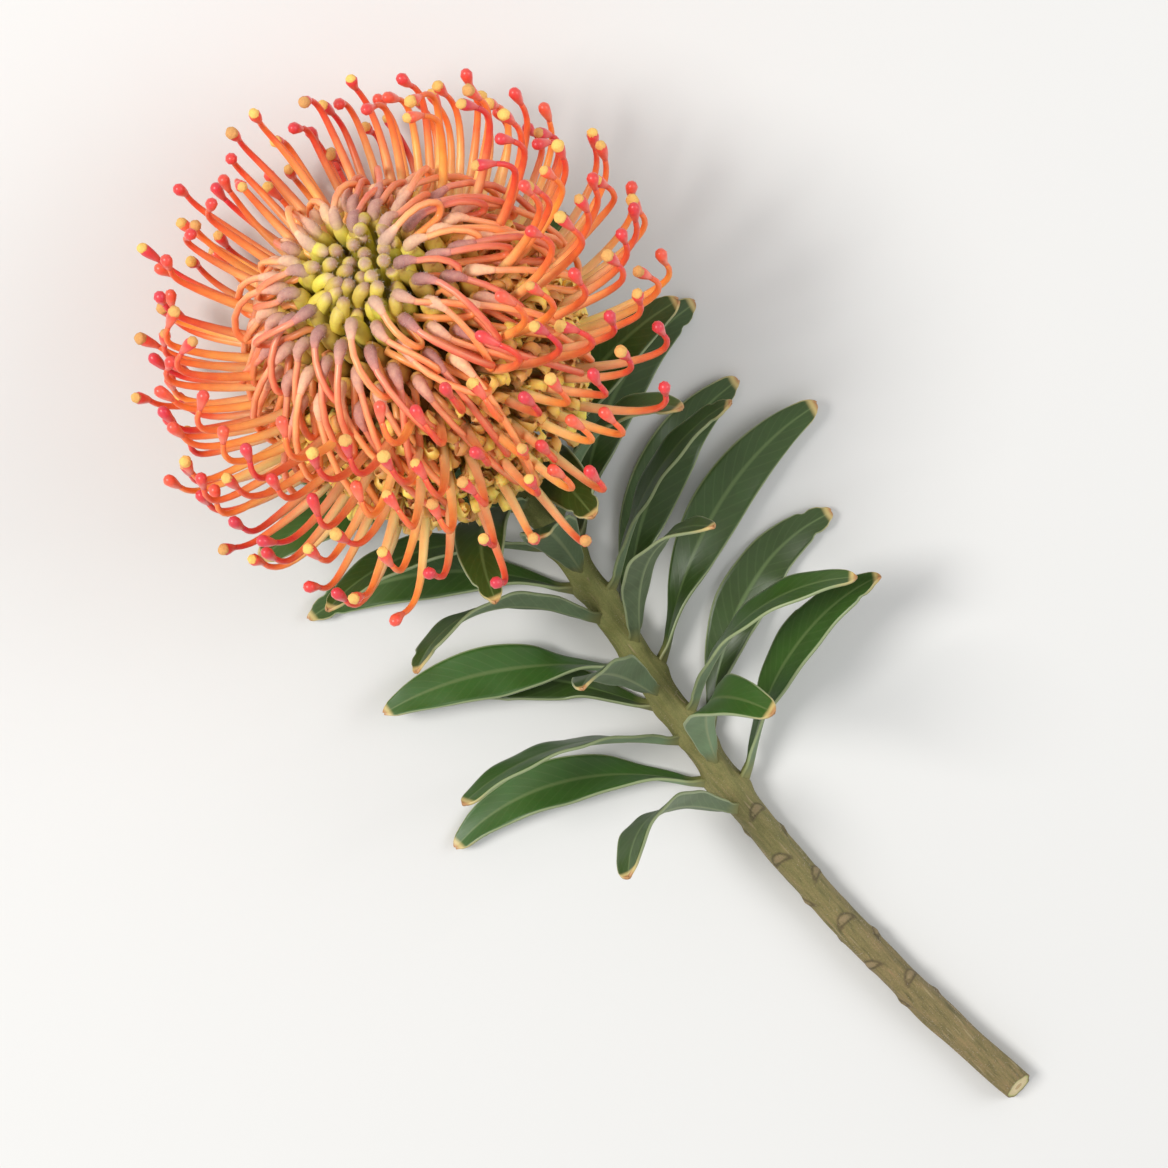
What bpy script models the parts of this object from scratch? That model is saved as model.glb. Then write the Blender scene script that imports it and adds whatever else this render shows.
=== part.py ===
"""A cut pincushion protea flower lying on a table, modelled in metres with +Z up.

The stem runs along +Y from its cut end to the flower. Its neck bends up, so that the flower's
axis rises at 45 degrees, and the flower rests on its lowest pins, the cut end and a few leaves.
Every shape of the flower head is laid out in the head's own frame, where the axis is +Z and the
base of the head is the origin, and is then set on the end of the stem.
"""

import math
import random

import bmesh
import bpy
from mathutils import Matrix, Vector

MM = 0.001

# Stem: lengths run back along it from the base of the flower head.
STEM_LENGTH = 214 * MM
NECK_LENGTH = 64 * MM
CUT_RADIUS = 3.4 * MM
NECK_RADIUS = 2.7 * MM
HEAD_TILT = math.radians(45)
REST_SLOPE = math.radians(0.7)
SIDE_SWAY = math.radians(7)
CUT_SLANT = math.radians(38)
STEM_STEP = 2 * MM
HEAD_AT_X = 1.9 * MM
HEAD_AT_Y = 68.8 * MM

# Receptacle, the swollen end of the stem that carries the florets.
RECEPTACLE_RADIUS = 9.0 * MM
RECEPTACLE_HEIGHT = 28.0 * MM
SEAT_GAP = 0.4 * MM

# Florets: v runs from 0 at the rim of the head to 1 at its tip.
FLORETS = 120
OPEN_UNTIL = 0.62
LOOPED_UNTIL = 0.88
OUTER_LEAN = math.radians(100)
PERIANTH_LENGTH = 19.5 * MM
CORE_DEPTH = 5.0 * MM
GOLDEN_ANGLE = math.radians(137.508)
CENTRAL_BUDS = 19
BUD_SPREAD = 6.0 * MM

# Styles, the pins of the pincushion, measured from the mouth of the perianth.
STYLE_LENGTH = 35.5 * MM
STYLE_RADIUS = 0.72 * MM
PRESENTER_RADIUS = 1.3 * MM
PRESENTER_LENGTH = 3.2 * MM
STYLE_CURL = math.radians(58)
STYLE_POINTS = 5
LIMB_RADIUS = 1.5 * MM
LOOP_REACH = 23.0 * MM
LOOP_ARM = 32.0 * MM

# Rolled-back perianths between the styles.
CURL_RADIUS = 3.7 * MM
CURL_THICKNESS = 1.5 * MM
CURL_WIDTH = 4.6 * MM

# Involucre of bracts under the head.
BRACT_ROWS = ((7, -11.5 * MM, 5.4 * MM, 18), (9, -7.6 * MM, 8.4 * MM, 34), (11, -4.2 * MM, 11.0 * MM, 52))
BRACT_LENGTH = 7.0 * MM
BRACT_WIDTH = 5.6 * MM

# Leaves, set in a spiral up the stem.
LEAVES = 26
FIRST_LEAF = 25 * MM
LEAF_SPACING = 3.9 * MM
LEAF_LENGTH = 60 * MM
LEAF_WIDTH = 11.5 * MM
LEAF_THICKNESS = 0.9 * MM
LEAF_STEPS = 8

# Table, which nothing sinks into.
TABLE_SOFTNESS = 3.0 * MM


def clear_scene():
    for obj in list(bpy.data.objects):
        bpy.data.objects.remove(obj)


def new_collection(name):
    collection = bpy.data.collections.new(name)
    bpy.context.scene.collection.children.link(collection)
    return collection


def new_material(name, colour, roughness):
    material = bpy.data.materials.new(name)
    material.use_nodes = True
    shader = material.node_tree.nodes["Principled BSDF"]
    shader.inputs["Base Color"].default_value = (*colour, 1.0)
    shader.inputs["Roughness"].default_value = roughness
    shader.inputs["Metallic"].default_value = 0.0
    return material


def smoothstep(x):
    x = min(max(x, 0.0), 1.0)
    return x * x * (3 - 2 * x)


def above_table(point, clearance):
    """The point, pressed up smoothly where it would come closer to the table than the clearance."""
    height = point.z - clearance
    lifted = 0.5 * (height + math.sqrt(height * height + TABLE_SOFTNESS**2)) - 0.2 * TABLE_SOFTNESS
    return Vector((point.x, point.y, clearance + max(lifted, 0.0) if height < 4 * TABLE_SOFTNESS else point.z))


def stem_direction(s):
    """The way the stem points, towards the flower, at a distance s back from the head."""
    slope = REST_SLOPE + (HEAD_TILT - REST_SLOPE) * (1 - smoothstep(s / NECK_LENGTH))
    yaw = SIDE_SWAY * math.sin(1.5 * math.pi * min(s / STEM_LENGTH, 1.0))
    return Vector((math.sin(yaw) * math.cos(slope), math.cos(yaw) * math.cos(slope), math.sin(slope)))


def stem_radius(s):
    return NECK_RADIUS + (CUT_RADIUS - NECK_RADIUS) * min(max(s / STEM_LENGTH, 0.0), 1.0)


def stem_line():
    """Points of the stem's centre line, from the head back to the cut end, lying on the table."""
    point = Vector((HEAD_AT_X, HEAD_AT_Y, 0))
    points = [point]
    for k in range(round(STEM_LENGTH / STEM_STEP)):
        point = point - stem_direction((k + 0.5) * STEM_STEP) * STEM_STEP
        points.append(point)
    lowest = min(p.z - stem_radius(k * STEM_STEP) for k, p in enumerate(points))
    return [p - Vector((0, 0, lowest)) for p in points]


STEM_POINTS = stem_line()


def frame_on_stem(s):
    """A matrix at the stem's centre line: +Z along the stem, +Y on its upper side, +X across it."""
    k = min(s / STEM_STEP, len(STEM_POINTS) - 1.001)
    place = STEM_POINTS[int(k)].lerp(STEM_POINTS[int(k) + 1], k - int(k))
    along = stem_direction(s)
    across = Vector((0, 0, 1)).cross(along).normalized()
    frame = Matrix((across, along.cross(across), along)).transposed().to_4x4()
    frame.translation = place
    return frame


HEAD_FRAME = frame_on_stem(0.0)


def round_profile(name, sides, collection):
    """A closed outline of 1 mm radius for the tubes to follow, hidden from the render."""
    data = bpy.data.curves.new(name, "CURVE")
    data.dimensions = "2D"
    spline = data.splines.new("POLY")
    spline.points.add(sides - 1)
    for k, point in enumerate(spline.points):
        angle = 2 * math.pi * k / sides
        point.co = (MM * math.cos(angle), MM * math.sin(angle), 0, 1)
    spline.use_cyclic_u = True
    outline = bpy.data.objects.new(name, data)
    outline.hide_render = True
    outline.display_type = "WIRE"
    collection.objects.link(outline)
    return outline


def finished_mesh(obj, name, collection):
    """The evaluated shape of obj as a mesh object of its own, welded, with its faces pointing out."""
    bpy.context.view_layer.update()
    evaluated = obj.evaluated_get(bpy.context.evaluated_depsgraph_get())
    mesh = bpy.data.meshes.new_from_object(evaluated)
    mesh.name = name
    shape = bmesh.new()
    shape.from_mesh(mesh)
    bmesh.ops.remove_doubles(shape, verts=shape.verts, dist=0.00001)
    bmesh.ops.recalc_face_normals(shape, faces=shape.faces)
    shape.to_mesh(mesh)
    shape.free()
    place = obj.matrix_world.copy()
    bpy.data.objects.remove(obj)
    made = bpy.data.objects.new(name, mesh)
    made.matrix_world = place
    collection.objects.link(made)
    return made


def tube(name, points, radii, outline, collection):
    """A tube through the points with a radius at each, closed at both ends."""
    data = bpy.data.curves.new(name, "CURVE")
    data.dimensions = "3D"
    spline = data.splines.new("POLY")
    spline.points.add(len(points) - 1)
    for point, place, radius in zip(spline.points, points, radii):
        point.co = (*place, 1)
        point.radius = radius / MM
    data.bevel_mode = "OBJECT"
    data.bevel_object = outline
    data.use_fill_caps = True
    obj = bpy.data.objects.new(name, data)
    collection.objects.link(obj)
    return finished_mesh(obj, name, collection)


def turned(name, profile, steps, frame, collection):
    """A solid turned about the frame's +Z from (radius, height) pairs that run down its outer side."""
    mesh = bpy.data.meshes.new(name)
    shape = bmesh.new()
    corners = [shape.verts.new((radius, 0, height)) for radius, height in profile]
    for first, second in zip(corners, corners[1:]):
        shape.edges.new((first, second))
    shape.to_mesh(mesh)
    shape.free()
    obj = bpy.data.objects.new(name, mesh)
    collection.objects.link(obj)
    obj.matrix_world = frame
    screw = obj.modifiers.new("Screw", "SCREW")
    screw.steps = screw.render_steps = steps
    screw.use_merge_vertices = True
    screw.merge_threshold = 0.00001
    return finished_mesh(obj, name, collection)


def fill_hollows(mesh):
    """Removes the inward-facing shells that are left where fused pieces close off a pocket between them."""
    shape = bmesh.new()
    shape.from_mesh(mesh)
    waiting = set(shape.faces)
    while waiting:
        shell = [waiting.pop()]
        for face in shell:
            for edge in face.edges:
                for other in edge.link_faces:
                    if other in waiting:
                        waiting.remove(other)
                        shell.append(other)
        anchor = shell[0].verts[0].co
        volume = sum((face.calc_center_median() - anchor).dot(face.normal) * face.calc_area() for face in shell)
        if volume < 0:
            bmesh.ops.delete(shape, geom=shell, context="FACES")
    shape.to_mesh(mesh)
    shape.free()


def fuse(base, collection):
    """Joins everything in the collection to the base object, then removes the collection's objects."""
    union = base.modifiers.new("Union", "BOOLEAN")
    union.operation = "UNION"
    union.operand_type = "COLLECTION"
    union.collection = collection
    union.solver = "MANIFOLD"
    bpy.context.view_layer.objects.active = base
    with bpy.context.temp_override(object=base, active_object=base):
        bpy.ops.object.modifier_apply(modifier=union.name)
    fill_hollows(base.data)
    for obj in list(collection.objects):
        bpy.data.objects.remove(obj)
    bpy.data.collections.remove(collection)


def finish_part(obj, material, part):
    """Puts the object in the part's collection with its material, shaded smooth but for its edges."""
    for collection in list(obj.users_collection):
        collection.objects.unlink(obj)
    part.objects.link(obj)
    obj.data.materials.clear()
    obj.data.materials.append(material)
    obj.data.shade_smooth()
    obj.data.set_sharp_from_angle(angle=math.radians(50))


def leaning(angle, around):
    """A direction in the head's frame that leans off the axis by the angle, on the side given by around."""
    return Vector((math.sin(angle) * math.sin(around), math.sin(angle) * math.cos(around), math.cos(angle)))


def floret_lean(v):
    outer = math.cos(OUTER_LEAN)
    return math.acos(outer + (1 - outer) * v)


def floret_root(v, around):
    """Where a floret leaves the receptacle, in the head's frame."""
    height = 3 * MM + (RECEPTACLE_HEIGHT - 4 * MM) * v**0.9
    radius = RECEPTACLE_RADIUS * math.sqrt(max(1 - (height / RECEPTACLE_HEIGHT) ** 2, 0.0))
    return Vector((radius * math.sin(around), radius * math.cos(around), height))


def floret_mouth(v, around):
    """Where the style leaves the rolled-back perianth, on the surface of the dome of florets."""
    return floret_root(v, around) + leaning(floret_lean(v), around) * PERIANTH_LENGTH


def florets():
    """(v, around) of every floret in a golden-angle spiral, from the rim of the head to its tip."""
    return [((k + 0.5) / FLORETS, (k * GOLDEN_ANGLE) % (2 * math.pi)) for k in range(FLORETS)]


def to_table(points, clearance):
    """Points of the head's frame in the part's frame, clear of the table."""
    return [above_table(HEAD_FRAME @ point, clearance) for point in points]


def free_style(k, v, around, outline, collection):
    """An open floret's style: it leaves the dome along the floret and curls in towards the axis."""
    draw = random.Random(100 + k)
    length = STYLE_LENGTH * draw.uniform(0.93, 1.04)
    curl = STYLE_CURL * draw.uniform(0.8, 1.2)
    sway = math.radians(draw.uniform(-9, 9))
    point = floret_mouth(v, around) - leaning(floret_lean(v), around) * (CORE_DEPTH + 2.5 * MM)
    points = [point]
    step = (length + CORE_DEPTH + 2.5 * MM - PRESENTER_LENGTH) / STYLE_POINTS
    for j in range(STYLE_POINTS):
        t = (j + 0.5) / STYLE_POINTS
        point = point + leaning(floret_lean(v) - curl * t**1.7, around + sway * t) * step
        points.append(point)
    heading = leaning(floret_lean(v) - 1.15 * curl, around + sway)
    points.append(point + heading * 0.45 * PRESENTER_LENGTH)
    points.append(point + heading * PRESENTER_LENGTH)
    radii = [STYLE_RADIUS] * STYLE_POINTS + [0.9 * STYLE_RADIUS, PRESENTER_RADIUS, 0.65 * PRESENTER_RADIUS]
    return tube(f"style_{k}", to_table(points, PRESENTER_RADIUS), radii, outline, collection)


def rolled_perianth(k, v, around, collection):
    """The perianth beside an open floret's style, a broad ribbon rolled back on itself."""
    draw = random.Random(500 + k)
    beside = around + math.radians(draw.choice((-1, 1)) * 6.0)
    lean = floret_lean(v)
    out = leaning(lean, beside)
    back = Matrix.Rotation(math.radians(draw.uniform(-40, 40)), 3, out) @ leaning(lean + math.pi / 2, beside)
    centre = floret_mouth(v, beside) - out * 1.4 * MM + back * CURL_RADIUS * 0.7
    radius = CURL_RADIUS * draw.uniform(0.85, 1.15)
    turn = math.radians(draw.uniform(-20, 20))
    angles = [math.radians(angle) + turn for angle in (170, 95, 20, -60)]
    outer = [(radius * math.cos(angle), radius * math.sin(angle)) for angle in angles]
    inner = [((radius - CURL_THICKNESS) * math.cos(a), (radius - CURL_THICKNESS) * math.sin(a)) for a in angles]
    root = [(inner[0][0], inner[0][1] - 8 * MM), (outer[0][0], outer[0][1] - 8 * MM)]
    data = bpy.data.curves.new(f"curl_{k}", "CURVE")
    data.dimensions = "2D"
    data.fill_mode = "BOTH"
    data.extrude = 0.5 * CURL_WIDTH
    spline = data.splines.new("POLY")
    ribbon = outer + inner[::-1] + root
    spline.points.add(len(ribbon) - 1)
    for point, (x, y) in zip(spline.points, ribbon):
        point.co = (x, y, 0, 1)
    spline.use_cyclic_u = True
    obj = bpy.data.objects.new(f"curl_{k}", data)
    collection.objects.link(obj)
    frame = Matrix((back, out, back.cross(out))).transposed().to_4x4()
    frame.translation = centre
    obj.matrix_world = HEAD_FRAME @ frame
    return finished_mesh(obj, f"curl_{k}", collection)


def over_dome(lean, around, height):
    """A point at a height over the dome of florets, where its surface faces the lean."""
    outer = math.cos(OUTER_LEAN)
    v = min(max((math.cos(lean) - outer) / (1 - outer), 0.0), 1.0)
    return floret_root(v, around) + leaning(lean, around) * (PERIANTH_LENGTH + height)


def looped_style(k, v, around, outline, collection):
    """An unopened floret's style: a long hairpin laid outwards over the head, its tip still held."""
    draw = random.Random(900 + k)
    lean = floret_lean(v)
    reach = LOOP_REACH * (1 - 0.62 * (v - OPEN_UNTIL) / (LOOPED_UNTIL - OPEN_UNTIL)) * draw.uniform(0.85, 1.1)
    sway = math.radians(draw.uniform(-24, 24))
    lift = draw.uniform(0.85, 1.25)
    points = [over_dome(lean, around, -7 * MM)]
    for share, height in ((0.16, 1.2), (0.6, 3.6), (0.99, 7.0), (0.62, 8.6), (0.12, 6.4)):
        side = around + sway * share
        points.append(over_dome(lean + share * reach / LOOP_ARM, side, height * lift * MM))
    for share, height in ((-0.07, 5.2), (-0.10, 2.2)):
        points.append(over_dome(lean + share, around, height * MM))
    radii = [STYLE_RADIUS] * 6 + [LIMB_RADIUS, 0.6 * LIMB_RADIUS]
    return tube(f"loop_{k}", to_table(points, PRESENTER_RADIUS), radii, outline, collection)


def core_profile():
    """The dome of packed florets, open below where the receptacle enters it."""
    rim = [floret_mouth(v, 0.0) - leaning(floret_lean(v), 0.0) * CORE_DEPTH for v in (0.8, 0.6, 0.4, 0.22, 0.06)]
    outside = [(math.hypot(p.x, p.y), p.z) for p in rim]
    top = RECEPTACLE_HEIGHT + 12.0 * MM
    socket = [
        (RECEPTACLE_RADIUS + SEAT_GAP, 2.4 * MM),
        (0.94 * RECEPTACLE_RADIUS + SEAT_GAP, 0.38 * RECEPTACLE_HEIGHT),
        (0.66 * RECEPTACLE_RADIUS + SEAT_GAP, 0.76 * RECEPTACLE_HEIGHT + SEAT_GAP),
        (0.33 * RECEPTACLE_RADIUS, 0.96 * RECEPTACLE_HEIGHT + 1.5 * SEAT_GAP),
        (0, RECEPTACLE_HEIGHT + SEAT_GAP),
    ]
    underside = [(0.97 * outside[-1][0], -0.6 * MM), (0.76 * outside[-1][0], 0.7 * MM), (13.2 * MM, 2.3 * MM)]
    return [(0, top), (7.6 * MM, top - 0.2 * MM)] + outside + underside + socket


def make_flower_head(part, material, outline):
    """Open and looped florets, fused with the dome that they stand on."""
    core = turned("flower_head", core_profile(), 16, HEAD_FRAME, part)
    pieces = new_collection("floret_pieces")
    for k, (v, around) in enumerate(florets()):
        if v < OPEN_UNTIL:
            free_style(k, v, around, outline, pieces)
            rolled_perianth(k, v, around, pieces)
        elif v < LOOPED_UNTIL:
            looped_style(k, v, around, outline, pieces)
    fuse(core, pieces)
    finish_part(core, material, part)


def make_central_buds(part, material, outline):
    """The youngest florets: a tuft of closed buds on a low cushion, bent in over the tip of the head."""
    seat = RECEPTACLE_HEIGHT + 12.0 * MM + SEAT_GAP
    cushion = [(0, seat + 3.0 * MM), (4.6 * MM, seat + 2.4 * MM), (7.4 * MM, seat + 0.6 * MM), (7.4 * MM, seat), (0, seat)]
    cap = turned("central_buds", cushion, 14, HEAD_FRAME, part)
    pieces = new_collection("bud_pieces")
    for k in range(CENTRAL_BUDS):
        spread = math.sqrt((k + 0.5) / CENTRAL_BUDS)
        around = k * GOLDEN_ANGLE
        foot = Vector((math.sin(around), math.cos(around), 0)) * BUD_SPREAD * spread + Vector((0, 0, seat + 1.0 * MM))
        out = leaning(math.radians(38) * spread, around)
        inwards = leaning(math.radians(-62) * spread, around)
        height = (5.2 + 2.6 * spread) * MM
        points = [foot, foot + out * height * 0.6, foot + out * height + inwards * 0.5 * MM]
        points.append(points[-1] + inwards * 2.6 * MM)
        tube(f"bud_{k}", [HEAD_FRAME @ p for p in points], [1.0 * MM, 1.15 * MM, 1.5 * MM, 0.7 * MM], outline, pieces)
    fuse(cap, pieces)
    finish_part(cap, material, part)


def make_stem(part, material, outline):
    """The woody stem with the receptacle at its end, grown as one piece."""
    cone = [
        (0, RECEPTACLE_HEIGHT),
        (0.3 * RECEPTACLE_RADIUS, 0.96 * RECEPTACLE_HEIGHT),
        (0.66 * RECEPTACLE_RADIUS, 0.76 * RECEPTACLE_HEIGHT),
        (0.92 * RECEPTACLE_RADIUS, 0.38 * RECEPTACLE_HEIGHT),
        (RECEPTACLE_RADIUS, 0.4 * MM),
        (0.8 * RECEPTACLE_RADIUS, -2.4 * MM),
        (1.5 * NECK_RADIUS, -6.4 * MM),
        (0.9 * NECK_RADIUS, -9.0 * MM),
        (0, -9.2 * MM),
    ]
    receptacle = turned("stem", cone, 18, HEAD_FRAME, part)
    pieces = new_collection("stem_pieces")
    stride = 4
    points = STEM_POINTS[::stride]
    points.append(STEM_POINTS[-1])
    points[0] = points[0] + stem_direction(0) * 6 * MM
    radii = [stem_radius(k * stride * STEM_STEP) for k in range(len(points))]
    tube("stem_shaft", points, radii, outline, pieces)
    fuse(receptacle, pieces)
    cut_aslant(receptacle.data)
    finish_part(receptacle, material, part)


def cut_aslant(mesh):
    """Trims the stem's end with a slanting cut, as a florist's knife leaves it."""
    place = HEAD_FRAME.inverted() @ (STEM_POINTS[-1] + stem_direction(STEM_LENGTH) * CUT_RADIUS)
    facing = Matrix.Rotation(CUT_SLANT, 3, "X") @ -stem_direction(STEM_LENGTH)
    facing = HEAD_FRAME.to_3x3().inverted() @ facing
    shape = bmesh.new()
    shape.from_mesh(mesh)
    geometry = shape.verts[:] + shape.edges[:] + shape.faces[:]
    cut = bmesh.ops.bisect_plane(shape, geom=geometry, plane_co=place, plane_no=facing, clear_outer=True)
    rim = [edge for edge in cut["geom_cut"] if isinstance(edge, bmesh.types.BMEdge)]
    bmesh.ops.contextual_create(shape, geom=rim)
    bmesh.ops.recalc_face_normals(shape, faces=shape.faces)
    shape.to_mesh(mesh)
    shape.free()


def make_involucre(part, material):
    """Rows of overlapping bracts on a cup that hugs the underside of the receptacle."""
    cup = [
        (11.6 * MM, 0.2 * MM),
        (10.2 * MM, -4.0 * MM),
        (6.6 * MM, -9.6 * MM),
        (4.6 * MM, -13.0 * MM),
        (NECK_RADIUS + 0.8 * MM, -13.3 * MM),
        (NECK_RADIUS + 0.7 * MM, -9.2 * MM),
        (1.5 * NECK_RADIUS + 1.2 * SEAT_GAP, -6.8 * MM),
        (0.8 * RECEPTACLE_RADIUS + SEAT_GAP, -2.9 * MM),
        (RECEPTACLE_RADIUS + SEAT_GAP, 0.2 * MM),
        (11.6 * MM, 0.2 * MM),
    ]
    ring = turned("involucre", cup, 22, HEAD_FRAME, part)
    pieces = new_collection("bract_pieces")
    for row, (count, height, radius, lean_deg) in enumerate(BRACT_ROWS):
        for k in range(count):
            around = 2 * math.pi * (k + 0.5 * (row % 2)) / count
            bpy.ops.mesh.primitive_cone_add(vertices=6, radius1=1.0, radius2=0.0, depth=2.0, end_fill_type="NGON")
            bract = bpy.context.object
            for collection in list(bract.users_collection):
                collection.objects.unlink(bract)
            pieces.objects.link(bract)
            # The cone is squashed into a pointed scale that leans out from the cup.
            size = Matrix.Diagonal((0.5 * BRACT_WIDTH, 0.9 * MM, 0.5 * BRACT_LENGTH, 1.0))
            tilt = Matrix.Rotation(-math.radians(lean_deg), 4, "X")
            turn = Matrix.Rotation(-around, 4, "Z")
            place = Matrix.Translation((0, radius + 0.1 * MM, height + 0.3 * BRACT_LENGTH))
            bract.data.transform(HEAD_FRAME @ turn @ place @ tilt @ size)
    fuse(ring, pieces)
    finish_part(ring, material, part)


def leaf_width(t):
    """Half the leaf's width at t along it: a narrow foot, widest past the middle, with a blunt tip."""
    foot = 0.34 + 0.66 * smoothstep(t / 0.55)
    tip = math.sqrt(max(1 - max((t - 0.72) / 0.30, 0.0) ** 2, 0.0))
    return 0.5 * LEAF_WIDTH * foot * max(tip, 0.3)


def leaf_rule(k):
    """Place on the stem, side and bearing of the leaf number k, counted back from the head."""
    draw = random.Random(40 + k)
    turn = math.degrees(k * GOLDEN_ANGLE + 0.4) % 360 - 180
    side = math.radians(turn * 138 / 180)
    upward = 0.5 + 0.5 * math.cos(side)
    return {
        "s": FIRST_LEAF + k * LEAF_SPACING,
        "side": side,
        "length": LEAF_LENGTH * draw.uniform(0.86, 1.1) * (0.84 + 0.16 * smoothstep(k / 5)),
        "lean": math.radians(40 + 10 * upward + 14 * (1 - smoothstep(k / 6)) + draw.uniform(-5, 5)),
        "recurve": math.radians(46 + 12 * upward + draw.uniform(-18, 18)),
        "sway": math.radians(draw.uniform(-20, 20)),
        "flop": draw.uniform(0.55, 1.0) * smoothstep((abs(math.degrees(side)) - 40) / 60),
        "twist": math.radians(draw.uniform(-22, 22)),
    }


def leaf_spine(rule):
    """Stations from the leaf's foot to its tip, each its place, its heading and the way across it."""
    frame = frame_on_stem(rule["s"])
    turn = frame.to_3x3()
    out = Vector((math.sin(rule["side"]), math.cos(rule["side"]), 0))
    beside = Vector((out.y, -out.x, 0))
    place = frame @ (out * (stem_radius(rule["s"]) + SEAT_GAP + 0.55 * LEAF_THICKNESS))
    stations = []
    for j in range(LEAF_STEPS + 1):
        t = j / LEAF_STEPS
        angle = rule["lean"] + rule["recurve"] * t**1.3
        heading = out * math.sin(angle) + Vector((0, 0, math.cos(angle))) + beside * math.tan(rule["sway"] * t)
        heading = (turn @ heading).normalized()
        if place.z < 1.5 * MM and heading.z < 0:
            heading = Vector((heading.x, heading.y, 0)).normalized()
        # Leaves at the sides flop over, so that their upper face looks up.
        level = heading.cross(Vector((0, 0, 1))).normalized()
        flop = rule["flop"] * smoothstep(t / 0.5)
        across = (turn @ beside) * (1 - flop) + level * flop
        across = (across - heading * across.dot(heading)).normalized()
        across = Matrix.Rotation(rule["twist"] * t * (1 - flop), 3, heading) @ across
        stations.append((place.copy(), heading, across))
        place = above_table(place + heading * rule["length"] / LEAF_STEPS, 0.55 * LEAF_THICKNESS)
    return stations


def leaf_point(stations, t, side):
    """A point of the leaf's middle surface: t runs from foot to tip, side from -1 to 1."""
    place, heading, across = stations[round(t * LEAF_STEPS)]
    width = leaf_width(t) * side
    channel = 0.16 * abs(side) ** 1.5 * leaf_width(t) * (1 - 0.5 * t)
    return above_table(place + across * width + across.cross(heading) * channel, 0.55 * LEAF_THICKNESS)


def make_leaf(k, part, material):
    stations = leaf_spine(leaf_rule(k))
    bpy.ops.mesh.primitive_grid_add(x_subdivisions=2, y_subdivisions=LEAF_STEPS, size=2)
    leaf = bpy.context.object
    leaf.name = f"leaf_{k + 1:02d}"
    for corner in leaf.data.vertices:
        corner.co = leaf_point(stations, (corner.co.y + 1) / 2, corner.co.x)
    solidify = leaf.modifiers.new("Solidify", "SOLIDIFY")
    solidify.thickness = LEAF_THICKNESS
    solidify.offset = 0
    finish_part(leaf, material, part)


def main():
    clear_scene()
    part = new_collection("pincushion_protea_flower")
    guides = new_collection("guides")
    three_sided = round_profile("three_sided", 3, guides)
    five_sided = round_profile("five_sided", 5, guides)
    ten_sided = round_profile("ten_sided", 10, guides)
    make_stem(part, new_material("bark", (0.22, 0.17, 0.08), 0.8), ten_sided)
    make_involucre(part, new_material("bract", (0.36, 0.38, 0.16), 0.75))
    make_flower_head(part, new_material("floret", (0.86, 0.27, 0.08), 0.5), three_sided)
    make_central_buds(part, new_material("bud", (0.50, 0.44, 0.16), 0.6), five_sided)
    leaf_green = new_material("leaf", (0.07, 0.17, 0.05), 0.5)
    for k in range(LEAVES):
        make_leaf(k, part, leaf_green)


main()
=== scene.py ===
"""The looks of a cut pincushion protea flower that lies on a pale table.

The flower's head is laid out in its own frame, where +Z is the flower's axis and the origin is the
base of the head, with the same rules as the solids. Each small shape is modelled once, upright and
one unit high, and its copies are then laid along the curves of the flower.
"""

import math
import random

import bmesh
import bpy
import numpy as np
from mathutils import Matrix, Vector


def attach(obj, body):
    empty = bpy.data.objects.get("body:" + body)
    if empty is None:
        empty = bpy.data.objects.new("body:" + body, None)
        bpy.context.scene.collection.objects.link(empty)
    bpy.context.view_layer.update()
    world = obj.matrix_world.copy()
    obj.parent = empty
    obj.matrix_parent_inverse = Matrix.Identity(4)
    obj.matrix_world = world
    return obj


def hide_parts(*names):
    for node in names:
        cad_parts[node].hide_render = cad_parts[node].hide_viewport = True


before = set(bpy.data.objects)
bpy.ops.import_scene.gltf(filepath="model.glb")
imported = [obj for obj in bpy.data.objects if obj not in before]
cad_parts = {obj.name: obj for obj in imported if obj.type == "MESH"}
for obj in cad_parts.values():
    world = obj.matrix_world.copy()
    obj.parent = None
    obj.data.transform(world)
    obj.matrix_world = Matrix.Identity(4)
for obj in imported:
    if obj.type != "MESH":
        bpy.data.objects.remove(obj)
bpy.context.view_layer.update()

MM = 0.001
GOLDEN_DEGREES = 137.508
GOLDEN_ANGLE = math.radians(GOLDEN_DEGREES)

# Stem: lengths run back along it from the base of the flower head.
STEM_LENGTH = 214 * MM
NECK_LENGTH = 64 * MM
CUT_RADIUS = 3.4 * MM
NECK_RADIUS = 2.7 * MM
HEAD_TILT = math.radians(45)
REST_SLOPE = math.radians(0.7)
SIDE_SWAY = math.radians(7)
CUT_SLANT = math.radians(38)
STEM_STEP = 2 * MM
STEM_RINGS = 260
STEM_SIDES = 30
FALLEN_LEAVES = 16
HEAD_AT_X = 1.9 * MM
HEAD_AT_Y = 68.8 * MM

# Head: v runs from 0 at the rim of the head to 1 at its tip.
RECEPTACLE_RADIUS = 9.0 * MM
RECEPTACLE_HEIGHT = 28.0 * MM
FLORETS = 250
OPEN_UNTIL = 0.62
LOOPED_UNTIL = 0.945
OUTER_LEAN = math.radians(100)
PERIANTH_LENGTH = 19.5 * MM
TUBE_RADIUS = 1.45 * MM

# Styles, the pins: lengths from the mouth of the perianth, and their root below it.
STYLE_LENGTH = 35.5 * MM
STYLE_ROOT = 9 * MM
STYLE_RADIUS = 0.92 * MM
STYLE_STEPS = 19
PRESENTER_LENGTH = 4.9 * MM
PRESENTER_RADIUS = 1.28 * MM
STYLE_CURL = math.radians(42)
STYLE_HOOK = math.radians(46)
POLLEN_SHARE = 0.5
LOOP_REACH = 23.0 * MM
LOOP_ARM = 32.0 * MM
LOOP_RADIUS = 0.76 * MM
LOOP_STEPS = 73

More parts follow.
